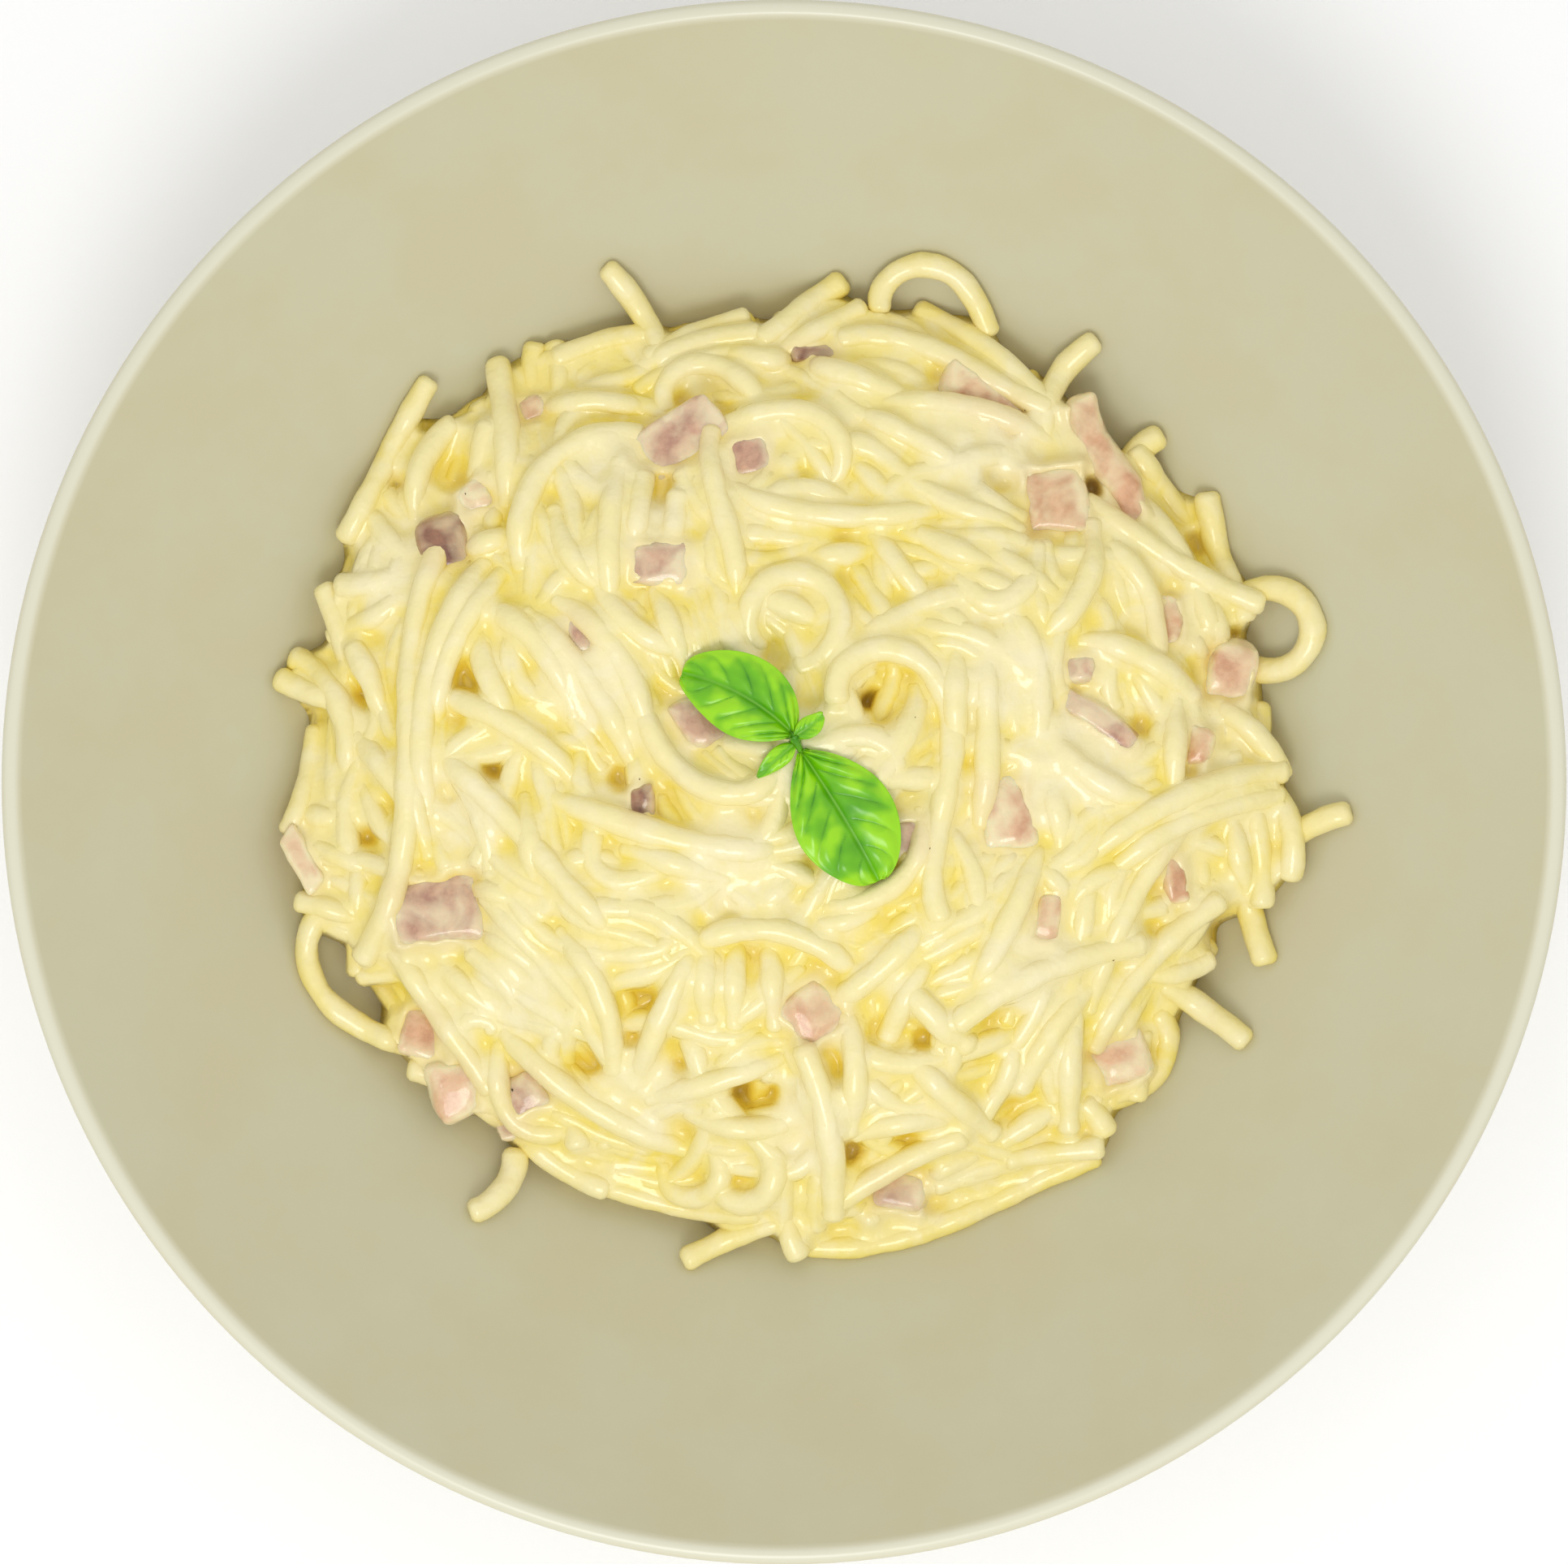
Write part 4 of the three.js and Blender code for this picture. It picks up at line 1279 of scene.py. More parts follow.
@dataclass
class NoodleHeap:
    """The heap: hidden noodles under the ones that show, and the sauce that binds them."""

    dome: HeapDome
    ham: HamDice
    seed: int = 21
    spacing: float = 0.5  # between the points of a noodle's line
    edging: Laying = Laying(1.66, 1.5, 1.2, 0.6, 8, 1.0)  # hidden noodles along the heap's edge
    filling: Laying = Laying(1.66, 0.8, 1.2, 1.5, 8, 1.0)  # hidden noodles all over the heap
    showing: Laying = Laying(1.58, 2.0, 2.4, 2.2, 16, 0.75)
    edging_count: int = 26
    filling_length: float = 7300.0
    ham_laid: float = 0.6  # share of that length still left when noodles start to keep clear of ham
    crossing: float = 1.5  # how deep one layer of shown noodles lies
    deepest: float = 2.4
    crown: float = 1.3
    sag: float = 3.2
    sag_patch: float = 11.0
    core_drop: float = 4.2
    core_gap: float = 0.3
    press: float = 0.5  # how far a noodle sinks into what it lies on
    swells: tuple[tuple[float, float], ...] = ((2.9, 0.05), (1.3, 0.04))  # wave and share of the radius
    stiffness: tuple[float, float, float] = (1.6, 2.2, 0.9)  # reach of a bump, and two bell curves over it
    dive_run: float = 7.0
    dive_within: float = 0.93
    wander_spread: float = 0.55
    wander_curl: float = 0.016
    tuck_gap: float = 1.2
    tuck_within: float = -0.8
    # rings beyond a cut end: how far out and how wide, as shares of the radius
    worn_end: tuple[tuple[float, float], ...] = ((0.1, 0.97), (0.34, 0.84), (0.48, 0.6))
    lumps: tuple[tuple[float, float], ...] = ((3.2, 0.38), (1.3, 0.16))
    rolls: tuple[float, float, float] = (1.2, 2.6, 3.2)  # balls that shape dry, wet and pooled sauce
    pool_depth: float = 1.5
    bed_half: float = 79.8
    bed_gap: float = 0.04  # between the sauce and the plate
    bed_rings: tuple[float, ...] = (0.92, 0.82, 0.7, 0.58, 0.47)
    brim_turns: int = 720
    brim_shares: tuple[float, float, float] = (0.93, 1.1, 0.004)  # of the dome: first, last, step
    brim_smooth: int = 9

    def __post_init__(self) -> None:
        """Sets out an empty heap over its core."""
        self.random = np.random.default_rng(self.seed)
        self.map = HeightMap()
        self.hidden: list[LaidNoodle] = []
        self.shown: list[LaidNoodle] = []
        x, y = self.map.x, self.map.y
        self.wall = self.dome.plate.inside(np.hypot(x, y))
        self.share = self.dome.share(x, y)
        self.pits = self.map.spots(PITS, 0.7, 1.5)
        self.read_the_grain()
        self.limit = self.dome.height(x, y) + self.crown - self.shown_depth - self.pits
        self.limit -= self.sag * np.maximum(self.clouds(self.sag_patch), 0)
        core = np.maximum(self.limit - self.core_drop, self.wall + self.core_gap)
        self.core = np.where(self.share < 1, core, self.wall)
        self.map.top = self.core.copy()

    def read_the_grain(self) -> None:
        """Notes which way the noodles that show run and how deep they lie, for the hidden ones to follow."""
        ways = np.zeros((2, *self.map.x.shape))
        count = np.zeros_like(self.map.x)
        trial = HeightMap()
        for noodle in SHOWN_NOODLES:
            path = noodle.path(self.spacing)
            steps = np.diff(path, axis=0)
            turn = 2 * np.arctan2(steps[:, 1], steps[:, 0])  # doubled, so that opposite ways agree
            middle = (path[1:] + path[:-1]) / 2
            i, j = np.rint((middle.T + trial.half) / trial.step).astype(int)
            np.add.at(ways[0], (i, j), np.cos(turn))
            np.add.at(ways[1], (i, j), np.sin(turn))
            trial.top[:] = 0.0
            trial.stamp(*path.T, np.ones(len(path)), np.full(len(path), self.showing.radius))
            count += trial.top > 0
        self.shown_depth = np.minimum(self.crossing * self.map.blurred(count, 4.0), self.deepest)
        around = 2 * (np.arctan2(self.map.y, self.map.x) + math.pi / 2)
        outer = 0.006 * smooth(self.share, 0.74, 0.97)
        self.grain_x = self.map.blurred(ways[0], 7.0) + outer * np.cos(around)
        self.grain_y = self.map.blurred(ways[1], 7.0) + outer * np.sin(around)

    def grain(self, x: Array, y: Array) -> Array:
        """Direction in which noodles run at each place, as an angle whose sign doesn't matter."""
        return np.arctan2(self.map.sample(self.grain_y, x, y), self.map.sample(self.grain_x, x, y)) / 2

    def wander(self, tries: int = 14) -> Array:
        """Draws the path of one hidden noodle: the lowest-lying of several.

        Args:
            tries: How many paths are drawn to choose from.

        Returns:
            One row of x and y for each point.
        """
        angle = self.random.random(tries) * 2 * math.pi
        reach = np.sqrt(self.random.random(tries)) * 0.95
        x, y = (way(angle) * reach * self.dome.reach(angle) for way in (np.cos, np.sin))
        heading = self.grain(x, y) + math.pi * self.random.integers(0, 2, tries)
        heading = heading + self.random.normal(0, self.wander_spread, tries)
        curl = np.zeros(tries)
        steps = int(self.random.uniform(34, 80) / self.spacing)
        path = np.zeros((steps, 2, tries))
        for step in range(steps):
            path[step] = x, y
            lean = np.mod(self.grain(x, y) - heading + math.pi / 2, math.pi) - math.pi / 2
            curl = 0.93 * curl + self.random.normal(0, self.wander_curl, tries)
            heading = heading + 0.03 * lean + curl
            x, y = x + self.spacing * np.cos(heading), y + self.spacing * np.sin(heading)
        room = self.map.sample(self.map.top - self.limit, path[:, 0], path[:, 1])
        inside = np.cumprod(self.dome.share(path[:, 0], path[:, 1]) < 0.985, axis=0).astype(bool)
        scores = []
        for piled, keep in zip(room.T, inside.T):
            long_enough = keep.sum() > 24
            scores.append(piled[keep].mean() + 0.6 * np.percentile(piled[keep], 90) if long_enough else 99.0)
        best = int(np.argmin(scores))
        return path[inside[:, best], :, best]

    def along_edge(self) -> Array:
        """Draws the path of a noodle that lies along the heap's edge.

        Returns:
            One row of x and y for each point.
        """
        angle = self.random.uniform(0, 2 * math.pi)
        steps = int(self.random.uniform(28, 56) / self.spacing)
        out, drift = self.random.uniform(0.9, 0.99), self.random.uniform(-0.05, 0.02)
        points = []
        for step in range(steps):
            reach = float(self.dome.reach(angle)) * (out + drift * step / steps)
            points.append((reach * math.cos(angle), reach * math.sin(angle)))
            angle += self.spacing / reach
        return np.array(points)

    def settle(self, path: Array, ceiling: Array, laying: Laying) -> LaidNoodle:
        """Lets a noodle down onto what is there.

        Args:
            path: Its points seen from above.
            ceiling: Grid of heights that it should stay under.
            laying: How it is laid.

        Returns:
            The noodle at rest, already added to the height map.
        """
        x, y = path[:, 0], path[:, 1]
        along = np.arange(len(path)) * self.spacing
        phase = self.random.random(4) * 2 * math.pi  # as many as were drawn when the heap was tuned
        swell = sum(size * np.sin(along / wave + start) for (wave, size), start in zip(self.swells, phase))
        radius = laying.radius * (1 + swell + self.random.uniform(-0.08, 0.1))
        needed = self.map.resting(x, y, laying.radius) - self.press
        base = self.map.sample(ceiling + laying.headroom, x, y) - laying.radius
        over = needed - base
        needed = np.where(over > 0, base + laying.give * np.tanh(over / laying.give), needed)
        bump, broad, fine = self.stiffness
        reach = int(bump / self.spacing)
        padded = np.pad(needed, reach, mode="edge")
        raised = np.array([padded[i : i + 2 * reach + 1].max() for i in range(len(needed))])
        z = self.eased(np.maximum(self.eased(raised, broad), needed), fine)
        for end, run in ((0, along), (-1, along[-1] - along)):
            if self.dome.share(x[end], y[end]) < self.dive_within:
                z = z - laying.dive * (1 - smooth(run / self.dive_run, 0.0, 1.0))
        self.map.stamp(x, y, z, radius)
        return LaidNoodle(np.stack([x, y, z], axis=1), radius, laying)

    def eased(self, values: Array, spread: float) -> Array:
        """Smooths a run of heights by a bell curve.

        Args:
            values: The heights at the points of a line.
            spread: The curve's spread in millimetres.

        Returns:
            The smoothed heights.
        """
        reach = int(3 * spread / self.spacing)
        bell = np.exp(-0.5 * (np.arange(-reach, reach + 1) * self.spacing / spread) ** 2)
        return np.convolve(np.pad(values, reach, mode="edge"), bell / bell.sum(), mode="valid")

    def fill(self) -> None:
        """Lays the hidden noodles: along the edge, then all over until their length is used up."""
        for _ in range(self.edging_count):
            self.hidden.append(self.settle(self.along_edge(), self.limit, self.edging))
        left = self.filling_length
        while left > 0:
            path = self.wander()
            if left < self.filling_length * self.ham_laid:
                path = self.ham.clear_run(path, self.showing.radius)
            length = len(path) * self.spacing
            left -= max(3.0, length)
            if length > 8:
                self.hidden.append(self.settle(path, self.limit, self.filling))

    def lay_shown(self, tiers: tuple[Tier, ...]) -> None:
        """Lays noodles that show; those at the very top keep their ends up.

        Args:
            tiers: The tiers whose noodles are laid.
        """
        ceiling = self.dome.height(self.map.x, self.map.y)
        for noodle in SHOWN_NOODLES:
            if noodle.tier in tiers:
                laying = replace(self.showing, dive=0.0) if noodle.tier is Tier.TOP else self.showing
                self.shown.append(self.settle(noodle.path(self.spacing), ceiling, laying))

    def tuck(self, noodles: list[LaidNoodle]) -> None:
        """Presses noodles down where they would stand up through a piece of ham, and maps them again.

        Args:
            noodles: The noodles that the ham lies on.
        """
        tops, inward = self.ham.cover(self.map)
        self.map.top = self.core.copy()
        for noodle in noodles:
            x, y, z = noodle.line.T
            room = self.map.sample(tops, x, y) - noodle.radius - self.tuck_gap
            held = np.where(self.map.sample(inward, x, y) > self.tuck_within, np.minimum(z, room), z)
            noodle.line[:, 2] = np.minimum(held, self.eased(held, 0.8))
            self.map.stamp(*noodle.line.T, noodle.radius)

    def sweep(self, noodle: LaidNoodle) -> BMesh:
        """Sweeps one noodle along its line, with worn cut ends.

        Args:
            noodle: The noodle at rest.

        Returns:
            A closed bmesh in millimetres.
        """
        rings = max(3, int(len(noodle.line) * self.spacing / noodle.laying.ring_step))
        keep = np.unique(np.rint(np.linspace(0, len(noodle.line) - 1, rings)).astype(int))
        line, radius = noodle.line[keep], noodle.radius[keep]
        first, last = line[0] - line[1], line[-1] - line[-2]
        first, last = first / np.linalg.norm(first), last / np.linalg.norm(last)
        head = [line[0] + first * radius[0] * push for push, _ in reversed(self.worn_end)]
        tail = [line[-1] + last * radius[-1] * push for push, _ in self.worn_end]
        narrow = [radius[0] * size for _, size in reversed(self.worn_end)]
        line = np.vstack([head, line, tail])
        radius = np.concatenate([narrow, radius, [radius[-1] * size for _, size in self.worn_end]])
        bm = bmesh.new()
        sides = noodle.laying.sides
        ring = bmesh.ops.create_circle(bm, cap_ends=False, radius=1.0, segments=sides)["verts"]
        edges = bm.edges[:]
        before = Matrix.Identity(4)
        for number, (place, size) in enumerate(zip(line, radius)):
            ahead, behind = line[min(number + 1, len(line) - 1)], line[max(number - 1, 0)]
            along = Vector(ahead - behind).normalized()
            side = along.cross(Vector((0, 0, 1))).normalized()
            turned = Matrix((side, side.cross(along), along)).transposed().to_4x4()
            here = Matrix.Translation(Vector(place)) @ turned @ Matrix.Diagonal((size, size, size, 1))
            if number:
                ring, edges = extrude_rim(bm, edges)
            bmesh.ops.transform(bm, matrix=here @ before.inverted(), verts=ring)
            before = here
        bmesh.ops.holes_fill(bm, edges=bm.edges, sides=0)
        bmesh.ops.recalc_face_normals(bm, faces=bm.faces)
        return bm

    def strands(self, name: str, noodles: list[LaidNoodle], material: Material) -> Piece:
        """Sweeps many noodles into one piece.

        Args:
            name: Name of the piece.
            noodles: The noodles at rest.
            material: The pasta's finish.

        Returns:
            The piece, which stands for the frame's spaghetti with its neighbours.
        """
        whole = bmesh.new()
        for noodle in noodles:
            absorb(whole, self.sweep(noodle))
        return finish_piece(whole, name, material, ["spaghetti"])

    def sauce_level(self) -> Array:
        """Finds the height of the sauce's surface, and notes where it is ragged, tinted by ham or creamy.

        Returns:
            The height over the whole map.
        """
        dry, wet, thick = (self.map.closed(self.map.top, radius) for radius in self.rolls)
        self.ragged = 1.2 * self.clouds(2.5)
        self.blush = 0.5 * self.map.blurred((self.ham.cover(self.map)[1] > -0.5).astype(float), 0.9)
        self.cream = self.map.spots([(*pool, 1.0) for pool in CREAM_POOLS], 0.45, 1.0)
        amount = np.clip(0.58 + 1.2 * self.clouds(7.0), 0, 1) * (1 - smooth(self.pits, 0.5, 2.5))
        level = dry + (wet - dry) * amount
        level = level + 0.65 * (thick - level) * self.cream
        pooled = self.dome.height(self.map.x, self.map.y) - self.pool_depth - 1.3 * self.pits
        level = np.maximum(level, pooled - 3 * smooth(self.share, 0.8, 0.95))
        level = self.map.blurred(level, 0.35) + 0.15 * amount + 0.2 * self.cream - 0.05
        self.find_brim()
        fade = smooth(1 - self.brim_share(self.map.x, self.map.y), 0.0, 0.022)
        return self.wall + self.bed_gap + np.maximum(level - self.wall - self.bed_gap, 0) * fade

    def find_brim(self) -> None:
        """Notes how far out the noodles lie side by side in each direction."""
        angles = np.linspace(0, 2 * math.pi, self.brim_turns, endpoint=False)
        first, last, step = self.brim_shares
        shares = np.arange(first, last, step)
        reach = self.dome.reach(angles)[:, None] * shares
        x, y = reach * np.cos(angles)[:, None], reach * np.sin(angles)[:, None]
        laid = self.map.closed(50.0 * (self.map.top - self.wall > 0.9), 1.5)
        brim = shares[0] + step * np.cumprod(self.map.sample(laid, x, y) > 25.0, axis=1).sum(axis=1)
        around = (np.arange(self.brim_turns)[:, None] + np.arange(-4, 5)) % self.brim_turns
        brim = brim[around].min(axis=1)[around].max(axis=1)
        width = self.brim_smooth
        bell = np.exp(-0.5 * (np.arange(-width, width + 1) / 2.5) ** 2)
        self.brim = np.convolve(np.pad(brim, width, mode="wrap"), bell / bell.sum(), mode="valid")
        LOG.info("sauce brim: %.3f to %.3f of the dome's radius", self.brim.min(), self.brim.max())

    def brim_share(self, x: Array | float, y: Array | float) -> Array:
        """Measures how far out a point lies.

        Args:
            x: Places along X.
            y: Places along Y.

        Returns:
            The share, from 0 at the centre to 1 at the sauce's edge.
        """
        count = len(self.brim)
        at = np.mod(np.arctan2(y, x), 2 * math.pi) / (2 * math.pi) * count
        brim = np.interp(at, np.arange(count + 1), np.append(self.brim, self.brim[0]))
        return self.dome.share(x, y) / brim

    def clouds(self, size: float) -> Array:
        """Soft noise over the whole map, from about -0.5 to 0.5, with patches of that size."""
        places = zip(self.map.x.ravel() / size, self.map.y.ravel() / size)
        return np.array([noise.noise(Vector((x, y, 0.3))) for x, y in places]).reshape(self.map.x.shape)

    def drop(self, verts: Iterable[bmesh.types.BMVert], scale: float = 1.0) -> None:
        """Draws vertices in towards the axis and sets them on the plate's wall.

        Args:
            verts: The vertices.
            scale: How far in they move.
        """
        for vert in verts:
            vert.co.x *= scale
            vert.co.y *= scale
            vert.co.z = float(self.dome.plate.inside(math.hypot(vert.co.x, vert.co.y))) + self.bed_gap

    def bed(self) -> BMesh:
        """Makes the sauce as one closed body: its surface above, the plate's wall below.

        Returns:
            A bmesh in millimetres.
        """
        level = self.sauce_level()
        top, inward = self.ham.cover(self.map)
        opened = top + 0.3 - 1.9 * smooth(inward + self.ragged, 0.1, 1.7)
        bare = (inward > 0) * (1 - smooth(self.map.top - top, 0.4, 1.6))
        level = level - self.map.blurred(bare * np.maximum(level - opened, 0), 0.4)
        segments = int(round(2 * self.bed_half / self.map.step))
        bm = bmesh.new()
        bmesh.ops.create_grid(bm, x_segments=segments, y_segments=segments, size=self.bed_half)
        places = np.array([vert.co for vert in bm.verts])
        share = self.brim_share(places[:, 0], places[:, 1])
        outside = [vert for vert, out in zip(bm.verts, share) if out > 1.0]
        bmesh.ops.delete(bm, geom=outside, context="VERTS")
        for vert in bm.verts:
            if vert.is_boundary:
                scale = 1 / float(self.brim_share(vert.co.x, vert.co.y))
                vert.co.x *= scale
                vert.co.y *= scale
        places = np.array([vert.co for vert in bm.verts])
        for vert, height in zip(bm.verts, self.map.sample(level, places[:, 0], places[:, 1])):
            vert.co.z = height
        edges = [edge for edge in bm.edges if edge.is_boundary]
        self.drop(vert for edge in edges for vert in edge.verts)
        for before, share_now in zip((1.0, *self.bed_rings), self.bed_rings):
            verts, edges = extrude_rim(bm, edges)
            self.drop(verts, share_now / before)
        bmesh.ops.holes_fill(bm, edges=edges, sides=0)
        bmesh.ops.recalc_face_normals(bm, faces=bm.faces)
        return bm

    def dress(self, piece: Piece) -> None:
        """Stores on each vertex how it lies in the heap, for the pasta's finish and its painted shade.

        Args:
            piece: The piece to dress.
        """
        x, y, z = coordinates(piece.data).T
        near = self.map.sample(self.map.blurred(self.map.top, 2.0), x, y)
        broad = self.map.sample(self.map.blurred(self.map.top, 6.0), x, y)
        # painted shade: the darkening of low places is made weaker towards the heap's edge
        inland = 1 - 0.65 * smooth(self.dome.share(x, y), 0.86, 1.0)
        add_attribute(piece.data, "relief", (z - near) * inland)
        add_attribute(piece.data, "sunk", (z - broad) * inland)
        add_attribute(piece.data, "cream", 0.6 * self.map.sample(self.cream, x, y))
        add_attribute(piece.data, "blush", self.map.sample(self.blush, x, y))

    def build(self) -> list[Piece]:
        """Lays the noodles, levels the sauce and makes the pieces.

        Returns:
            The sauce, the hidden noodles and the shown noodles.
        """
        self.fill()
        self.lay_shown((Tier.PLATE, Tier.LOW))
        self.tuck(self.hidden + self.shown)
        self.ham.stamp(self.map)
        self.lay_shown((Tier.HIGH, Tier.TOP))
        gap = (self.map.top - self.dome.height(self.map.x, self.map.y))[self.share < 0.9]
        low, high = np.percentile(gap, [5, 95])
        LOG.info("heap top over dome: mean %.2f, low %.2f, high %.2f", gap.mean(), low, high)
        pasta = SaucedPasta().material()
        bed = finish_piece(self.bed(), "cream_sauce", pasta, ["spaghetti"])
        below = self.strands("noodles_below", self.hidden, pasta)
        above = self.strands("noodles_on_top", self.shown, pasta)
        for piece in (below, above):
            roughen(piece.data, self.lumps, outward=True)
        for piece in (bed, below, above):
            self.dress(piece)
        return [bed, below, above]


# ---- the basil and the pepper


@dataclass(frozen=True)
class Leaf:
    """One basil leaf: its base, which way it points, its size, its lift and the run of its midrib.

    The bend is how many degrees the midrib turns, and a larger belly puts the widest place nearer the tip.
    """

    x: float
    y: float
    heading: float
    length: float
    width: float
    lift_base: float
    lift_tip: float
    bend: float
    belly: float
    bluntness: float


@dataclass(frozen=True)
class BasilSprig:
    """The sprig on top: two large leaves and two small ones on a short stem."""

    dome: HeapDome
    leaves: tuple[Leaf, ...] = (
        Leaf(1.3, 6.8, 151, 18.5, 11.6, 1.6, 0.9, 34, 0.92, 0.62),
        Leaf(2.4, 4.4, -59, 21.7, 14.5, 1.2, 1.0, -8, 1.12, 0.62),
        Leaf(1.4, 6.4, 36, 5.2, 2.9, 1.9, 3.0, 10, 0.95, 0.8),
        Leaf(1.6, 5.4, -139, 7.2, 2.8, 1.0, 0.7, 6, 0.72, 1.0),
    )
    large: float = 10.0  # a longer leaf gets the finer grid
    full_width: float = 14.5  # of the leaf whose quilting is at full depth
    thickness: float = 0.4
    cup: float = 0.14
    base: float = 3.9  # over the dome's top
    lifted: float = 0.4  # added to the base
    droop: float = 0.0045
    side_veins: float = 5.0
    midrib_points: int = 200
    stem: tuple[float, float] = (1.6, 6.0)
    stalk_radii: tuple[float, float] = (0.55, 0.4)
    stem_radii: tuple[float, float] = (0.9, 0.55)
    stem_length: float = 1.8

    def level(self, x: Array | float, y: Array | float) -> Array | float:
        """Smooth level that the sprig lies on."""
        return self.dome.top + self.base + self.lifted - self.droop * (x * x + y * y)

    def leaf(self, leaf: Leaf) -> BMesh:
        """Shapes one leaf from a grid: quilted between its side veins and grooved along its midrib.

        Args:
            leaf: The leaf's place and size.

        Returns:
            The leaf, with its vein attributes.
        """
        bm = bmesh.new()
        rows, columns = (84, 56) if leaf.length > self.large else (28, 16)
        bmesh.ops.create_grid(bm, x_segments=rows, y_segments=columns, size=1.0)
        places = np.array([vert.co for vert in bm.verts])
        share, side = (places[:, 0] + 1) / 2 * 0.99 + 0.006, places[:, 1]
        out = abs(side)
        rounding = leaf.bluntness * (1 - 0.3 * share**3)
        half = leaf.width / 2 * np.sin(np.pi * share**leaf.belly) ** rounding + 0.1
        along = np.linspace(0, 1, self.midrib_points)
        turn = np.radians(leaf.heading + leaf.bend * (along - 0.5))
        mid_x = leaf.x + leaf.length * np.cumsum(np.cos(turn)) / self.midrib_points
        mid_y = leaf.y + leaf.length * np.cumsum(np.sin(turn)) / self.midrib_points
        way = np.interp(share, along, turn)
        v = side * half
        x = np.interp(share, along, mid_x) - v * np.sin(way)
        y = np.interp(share, along, mid_y) + v * np.cos(way)

        # veins leave the midrib in beats, and the blade puffs up between them
        beat = share * self.side_veins - 2.3 * out**1.35 * (1 - 0.45 * share) + 0.35 * (side > 0)
        wave = abs(np.mod(beat, 1.0) - 0.5) * 2
        inner, outer = smooth(out, 0.02, 0.2), 1 - smooth(out, 0.72, 0.98)
        vein = smooth(wave, 0.88, 1.0) * inner * outer * (1 - smooth(share, 0.82, 0.96))
        puff = np.sin(np.pi / 2 * (1 - wave)) ** 0.8 * smooth(out, 0.0, 0.35) * outer * (1 - 0.5 * share)
        size = leaf.width / self.full_width
        sway = 0.35 * np.sin(5.5 * share + 1.5 * side) * out
        lift = leaf.lift_base + (leaf.lift_tip - leaf.lift_base) * share + self.cup * abs(v) + sway
        curl = 0.9 * size * smooth(out, 0.55, 1.0) + 1.1 * size * smooth(share, 0.8, 1.0)
        lift = lift + size * (0.65 * puff - 0.14 * vein - 0.45 * np.exp(-((v / 0.5) ** 2))) - 0.6 * curl
        for vert, place in zip(bm.verts, zip(x, y, self.level(x, y) + lift)):
            vert.co = place
        # painted light and shade for the finish: lighter on the puffs and towards the margin, darker in the
        # furrows along the veins and beside the midrib
        furrow = 0.2 * vein * (1 - smooth(out, 0.3, 0.75))
        furrow = furrow + 0.3 * np.exp(-((v / 0.35) ** 2)) * (1 - 0.6 * share)
        rib = np.exp(-((v / 0.16) ** 2)) * (1 - 0.75 * share)
        values = {"rib": rib, "quilt_shading": 0.16 * puff + 0.2 * smooth(out, 0.7, 1) + 0.13 - furrow}
        for name, numbers in values.items():
            layer = bm.verts.layers.float.new(name)
            for vert, value in zip(bm.verts, numbers):
                vert[layer] = float(value)
        bmesh.ops.recalc_face_normals(bm, faces=bm.faces)
        bmesh.ops.solidify(bm, geom=bm.faces[:], thickness=self.thickness)
        return bm

    def build(self) -> Piece:
        """Makes the sprig: each leaf on its stalk, and the cut stem that carries them.

        Returns:
            The sprig, which stands for the frame's basil_sprig.
        """
        whole = bmesh.new()
        x, y = self.stem
        node = Vector((x, y, float(self.level(x, y)) + 1.6))
        capped = {"cap_ends": True, "cap_tris": False}
        wide, narrow = self.stalk_radii
        for leaf in self.leaves:
            absorb(whole, self.leaf(leaf))
            base = Vector((leaf.x, leaf.y, float(self.level(leaf.x, leaf.y)) + leaf.lift_base - 0.35))
            stalk = base - node
            turned = stalk.to_track_quat("Z", "Y").to_matrix().to_4x4()
            matrix = Matrix.Translation((base + node) / 2) @ turned
            cone = {"segments": 12, "radius1": wide, "radius2": narrow, "depth": stalk.length + 1.2}
            made = bmesh.ops.create_cone(whole, **capped, **cone, matrix=matrix)
            bmesh.ops.bevel(
                whole,
                geom=made["verts"],
                offset=0.15,
                segments=2,
                profile=0.5,
                affect="VERTICES",
                material=-1,
            )
        wide, narrow = self.stem_radii
        cone = {"segments": 14, "radius1": wide, "radius2": narrow, "depth": self.stem_length}
        cut = bmesh.ops.create_cone(whole, **capped, **cone)["verts"]
        bmesh.ops.translate(whole, vec=node - Vector((0, 0, 0.4)), verts=cut)
        return finish_piece(whole, "basil_leaves", BasilGreen().material(), ["basil_sprig"])


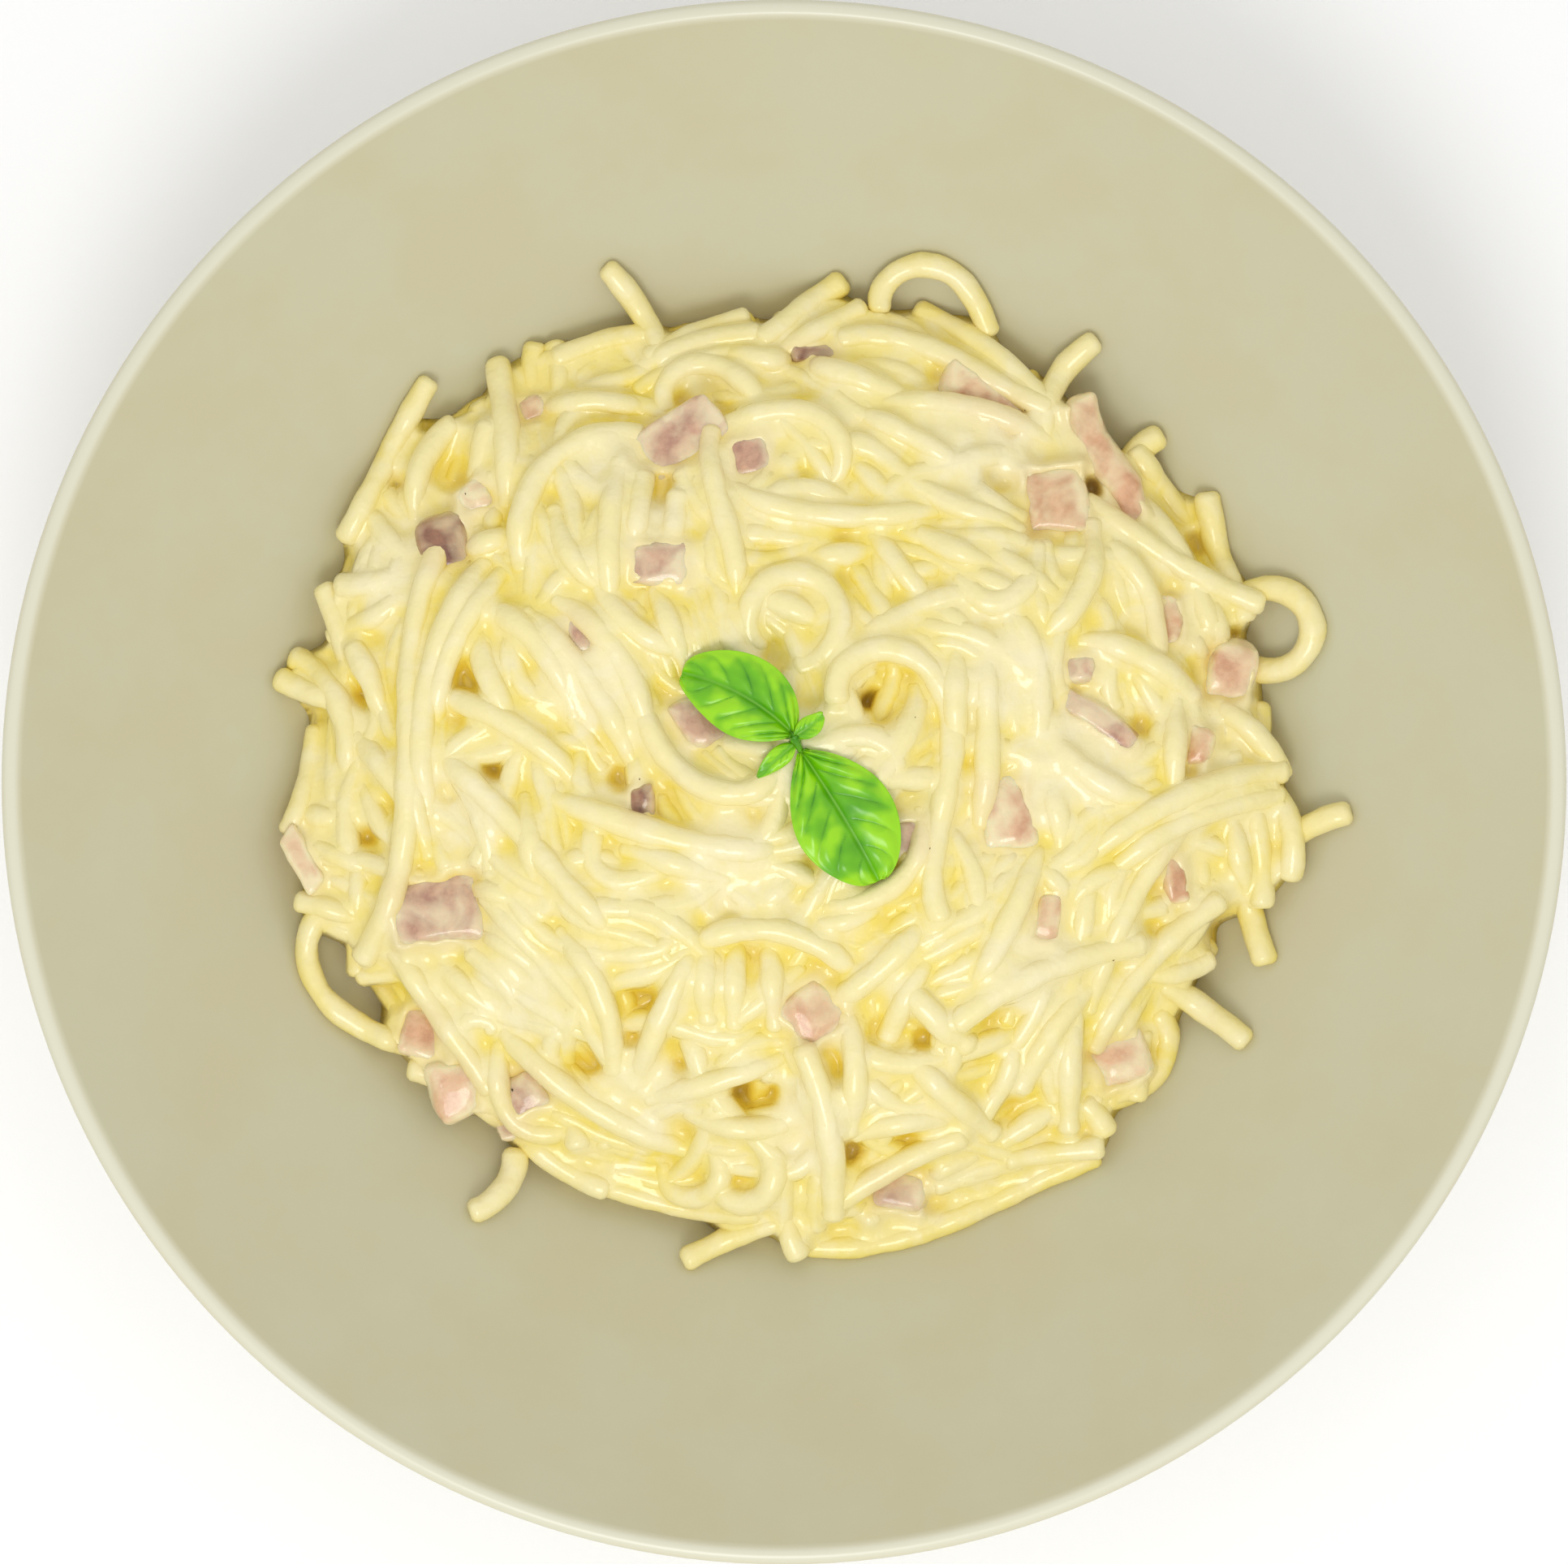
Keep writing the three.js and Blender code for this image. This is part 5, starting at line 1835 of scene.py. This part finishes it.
@dataclass(frozen=True)
class PepperFlecks:
    """Flecks of pepper in the sauce: broken grains a fifth to two thirds of a millimetre across."""

    heap: NoodleHeap
    seed: int = 7
    spots: tuple[tuple[float, float], ...] = (
        (-20.7, 0.3), (-37.2, 43.0), (47.5, 3.4), (35.7, 14.8), (52.3, 9.2), (-40.7, 22.1), (-39.6, -44.9),
        (-15.8, -40.3), (21.8, -41.6), (19.3, -13.0), (47.6, -25.6), (42.0, -41.2),
    )  # fmt: skip
    extra: int = 34
    field_half: float = 66.0
    within: float = 0.93
    flattening: tuple[float, float, float] = (1.3, 0.8, 0.6)
    stand: float = 0.1

    def build(self) -> Piece:
        """Scatters the flecks.

        Returns:
            One piece with every fleck.
        """
        random = np.random.default_rng(self.seed)
        places = [(x, y, random.uniform(0.2, 0.34)) for x, y in self.spots]
        while len(places) < len(self.spots) + self.extra:
            x, y = random.uniform(-self.field_half, self.field_half, 2)
            if self.heap.dome.share(x, y) < self.within:
                places.append((x, y, random.uniform(0.1, 0.2)))
        whole = bmesh.new()
        ground = self.heap.map
        for x, y, radius in places:
            grain = bmesh.ops.create_icosphere(whole, subdivisions=1, radius=radius)["verts"]
            for vert in grain:
                vert.co *= random.uniform(0.7, 1.15)
            height = float(ground.sample(ground.top, np.array([x]), np.array([y]))[0])
            turned = Matrix.Rotation(random.uniform(0, 6.28), 4, "Z") @ Matrix.Diagonal((*self.flattening, 1))
            here = Matrix.Translation((x, y, height + self.stand)) @ turned
            bmesh.ops.transform(whole, matrix=here, verts=grain)
        return finish_piece(whole, "pepper_flecks", GroundPepper().material(), [])


# ---- the studio


@dataclass(frozen=True)
class Studio:
    """A pale floor, soft light from all round, one large soft lamp and a camera that looks straight down."""

    camera_height: float = 650.5
    lip_distance: float = 600.0  # from the camera down to the centre of the plate's lip
    frame_width: float = 220.46  # seen at that distance
    sensor: float = 36.0
    sky: float = 0.845
    key_power: float = 3.25
    key_size: float = 0.45  # this, the lamp's place and the floor are in metres
    key_place: tuple[float, float, float] = (-0.08, -0.6, 0.95)
    floor_half: float = 3.0

    def build(self) -> None:
        """Sets up floor, lights, camera and tone response."""
        scene = bpy.context.scene
        bm = bmesh.new()
        bmesh.ops.create_grid(bm, x_segments=8, y_segments=8, size=self.floor_half)
        mesh = bpy.data.meshes.new("floor")
        bm.to_mesh(mesh)
        bm.free()
        mesh.materials.append(PaleFloor().material())
        floor = bpy.data.objects.new("floor", mesh)
        scene.collection.objects.link(floor)

        world = bpy.data.worlds.new("soft_room")
        world.use_nodes = True
        background = world.node_tree.nodes["Background"]
        background.inputs["Color"].default_value = (1.0, 1.0, 1.0, 1.0)
        background.inputs["Strength"].default_value = self.sky
        scene.world = world

        lamp = bpy.data.lights.new("key_softbox", "AREA")
        lamp.shape = "DISK"
        lamp.size = self.key_size
        lamp.energy = self.key_power
        key = bpy.data.objects.new("key_softbox", lamp)
        key.location = self.key_place
        key.rotation_mode = "QUATERNION"
        key.rotation_quaternion = Vector(key.location).to_track_quat("Z", "Y")
        scene.collection.objects.link(key)

        data = bpy.data.cameras.new("camera")
        data.sensor_width = self.sensor
        data.lens = self.sensor * self.lip_distance / self.frame_width
        data.clip_start = 0.01
        camera = bpy.data.objects.new("camera", data)
        camera.location = (0.0, 0.0, self.camera_height * MM)
        scene.collection.objects.link(camera)
        scene.camera = camera
        scene.view_settings.view_transform = "Standard"


def main() -> None:
    """Builds the studio, the plate, the heap and its toppings in order."""
    logging.basicConfig(level=logging.INFO, format="%(name)s %(message)s")
    Studio().build()
    plate = DeepPlate()
    plate.build()
    dome = HeapDome(plate)
    ham = HamDice(dome)
    heap = NoodleHeap(dome, ham)
    heap.build()
    ham.build()
    BasilSprig(dome).build()
    PepperFlecks(heap).build()


if __name__ == "__main__":
    main()
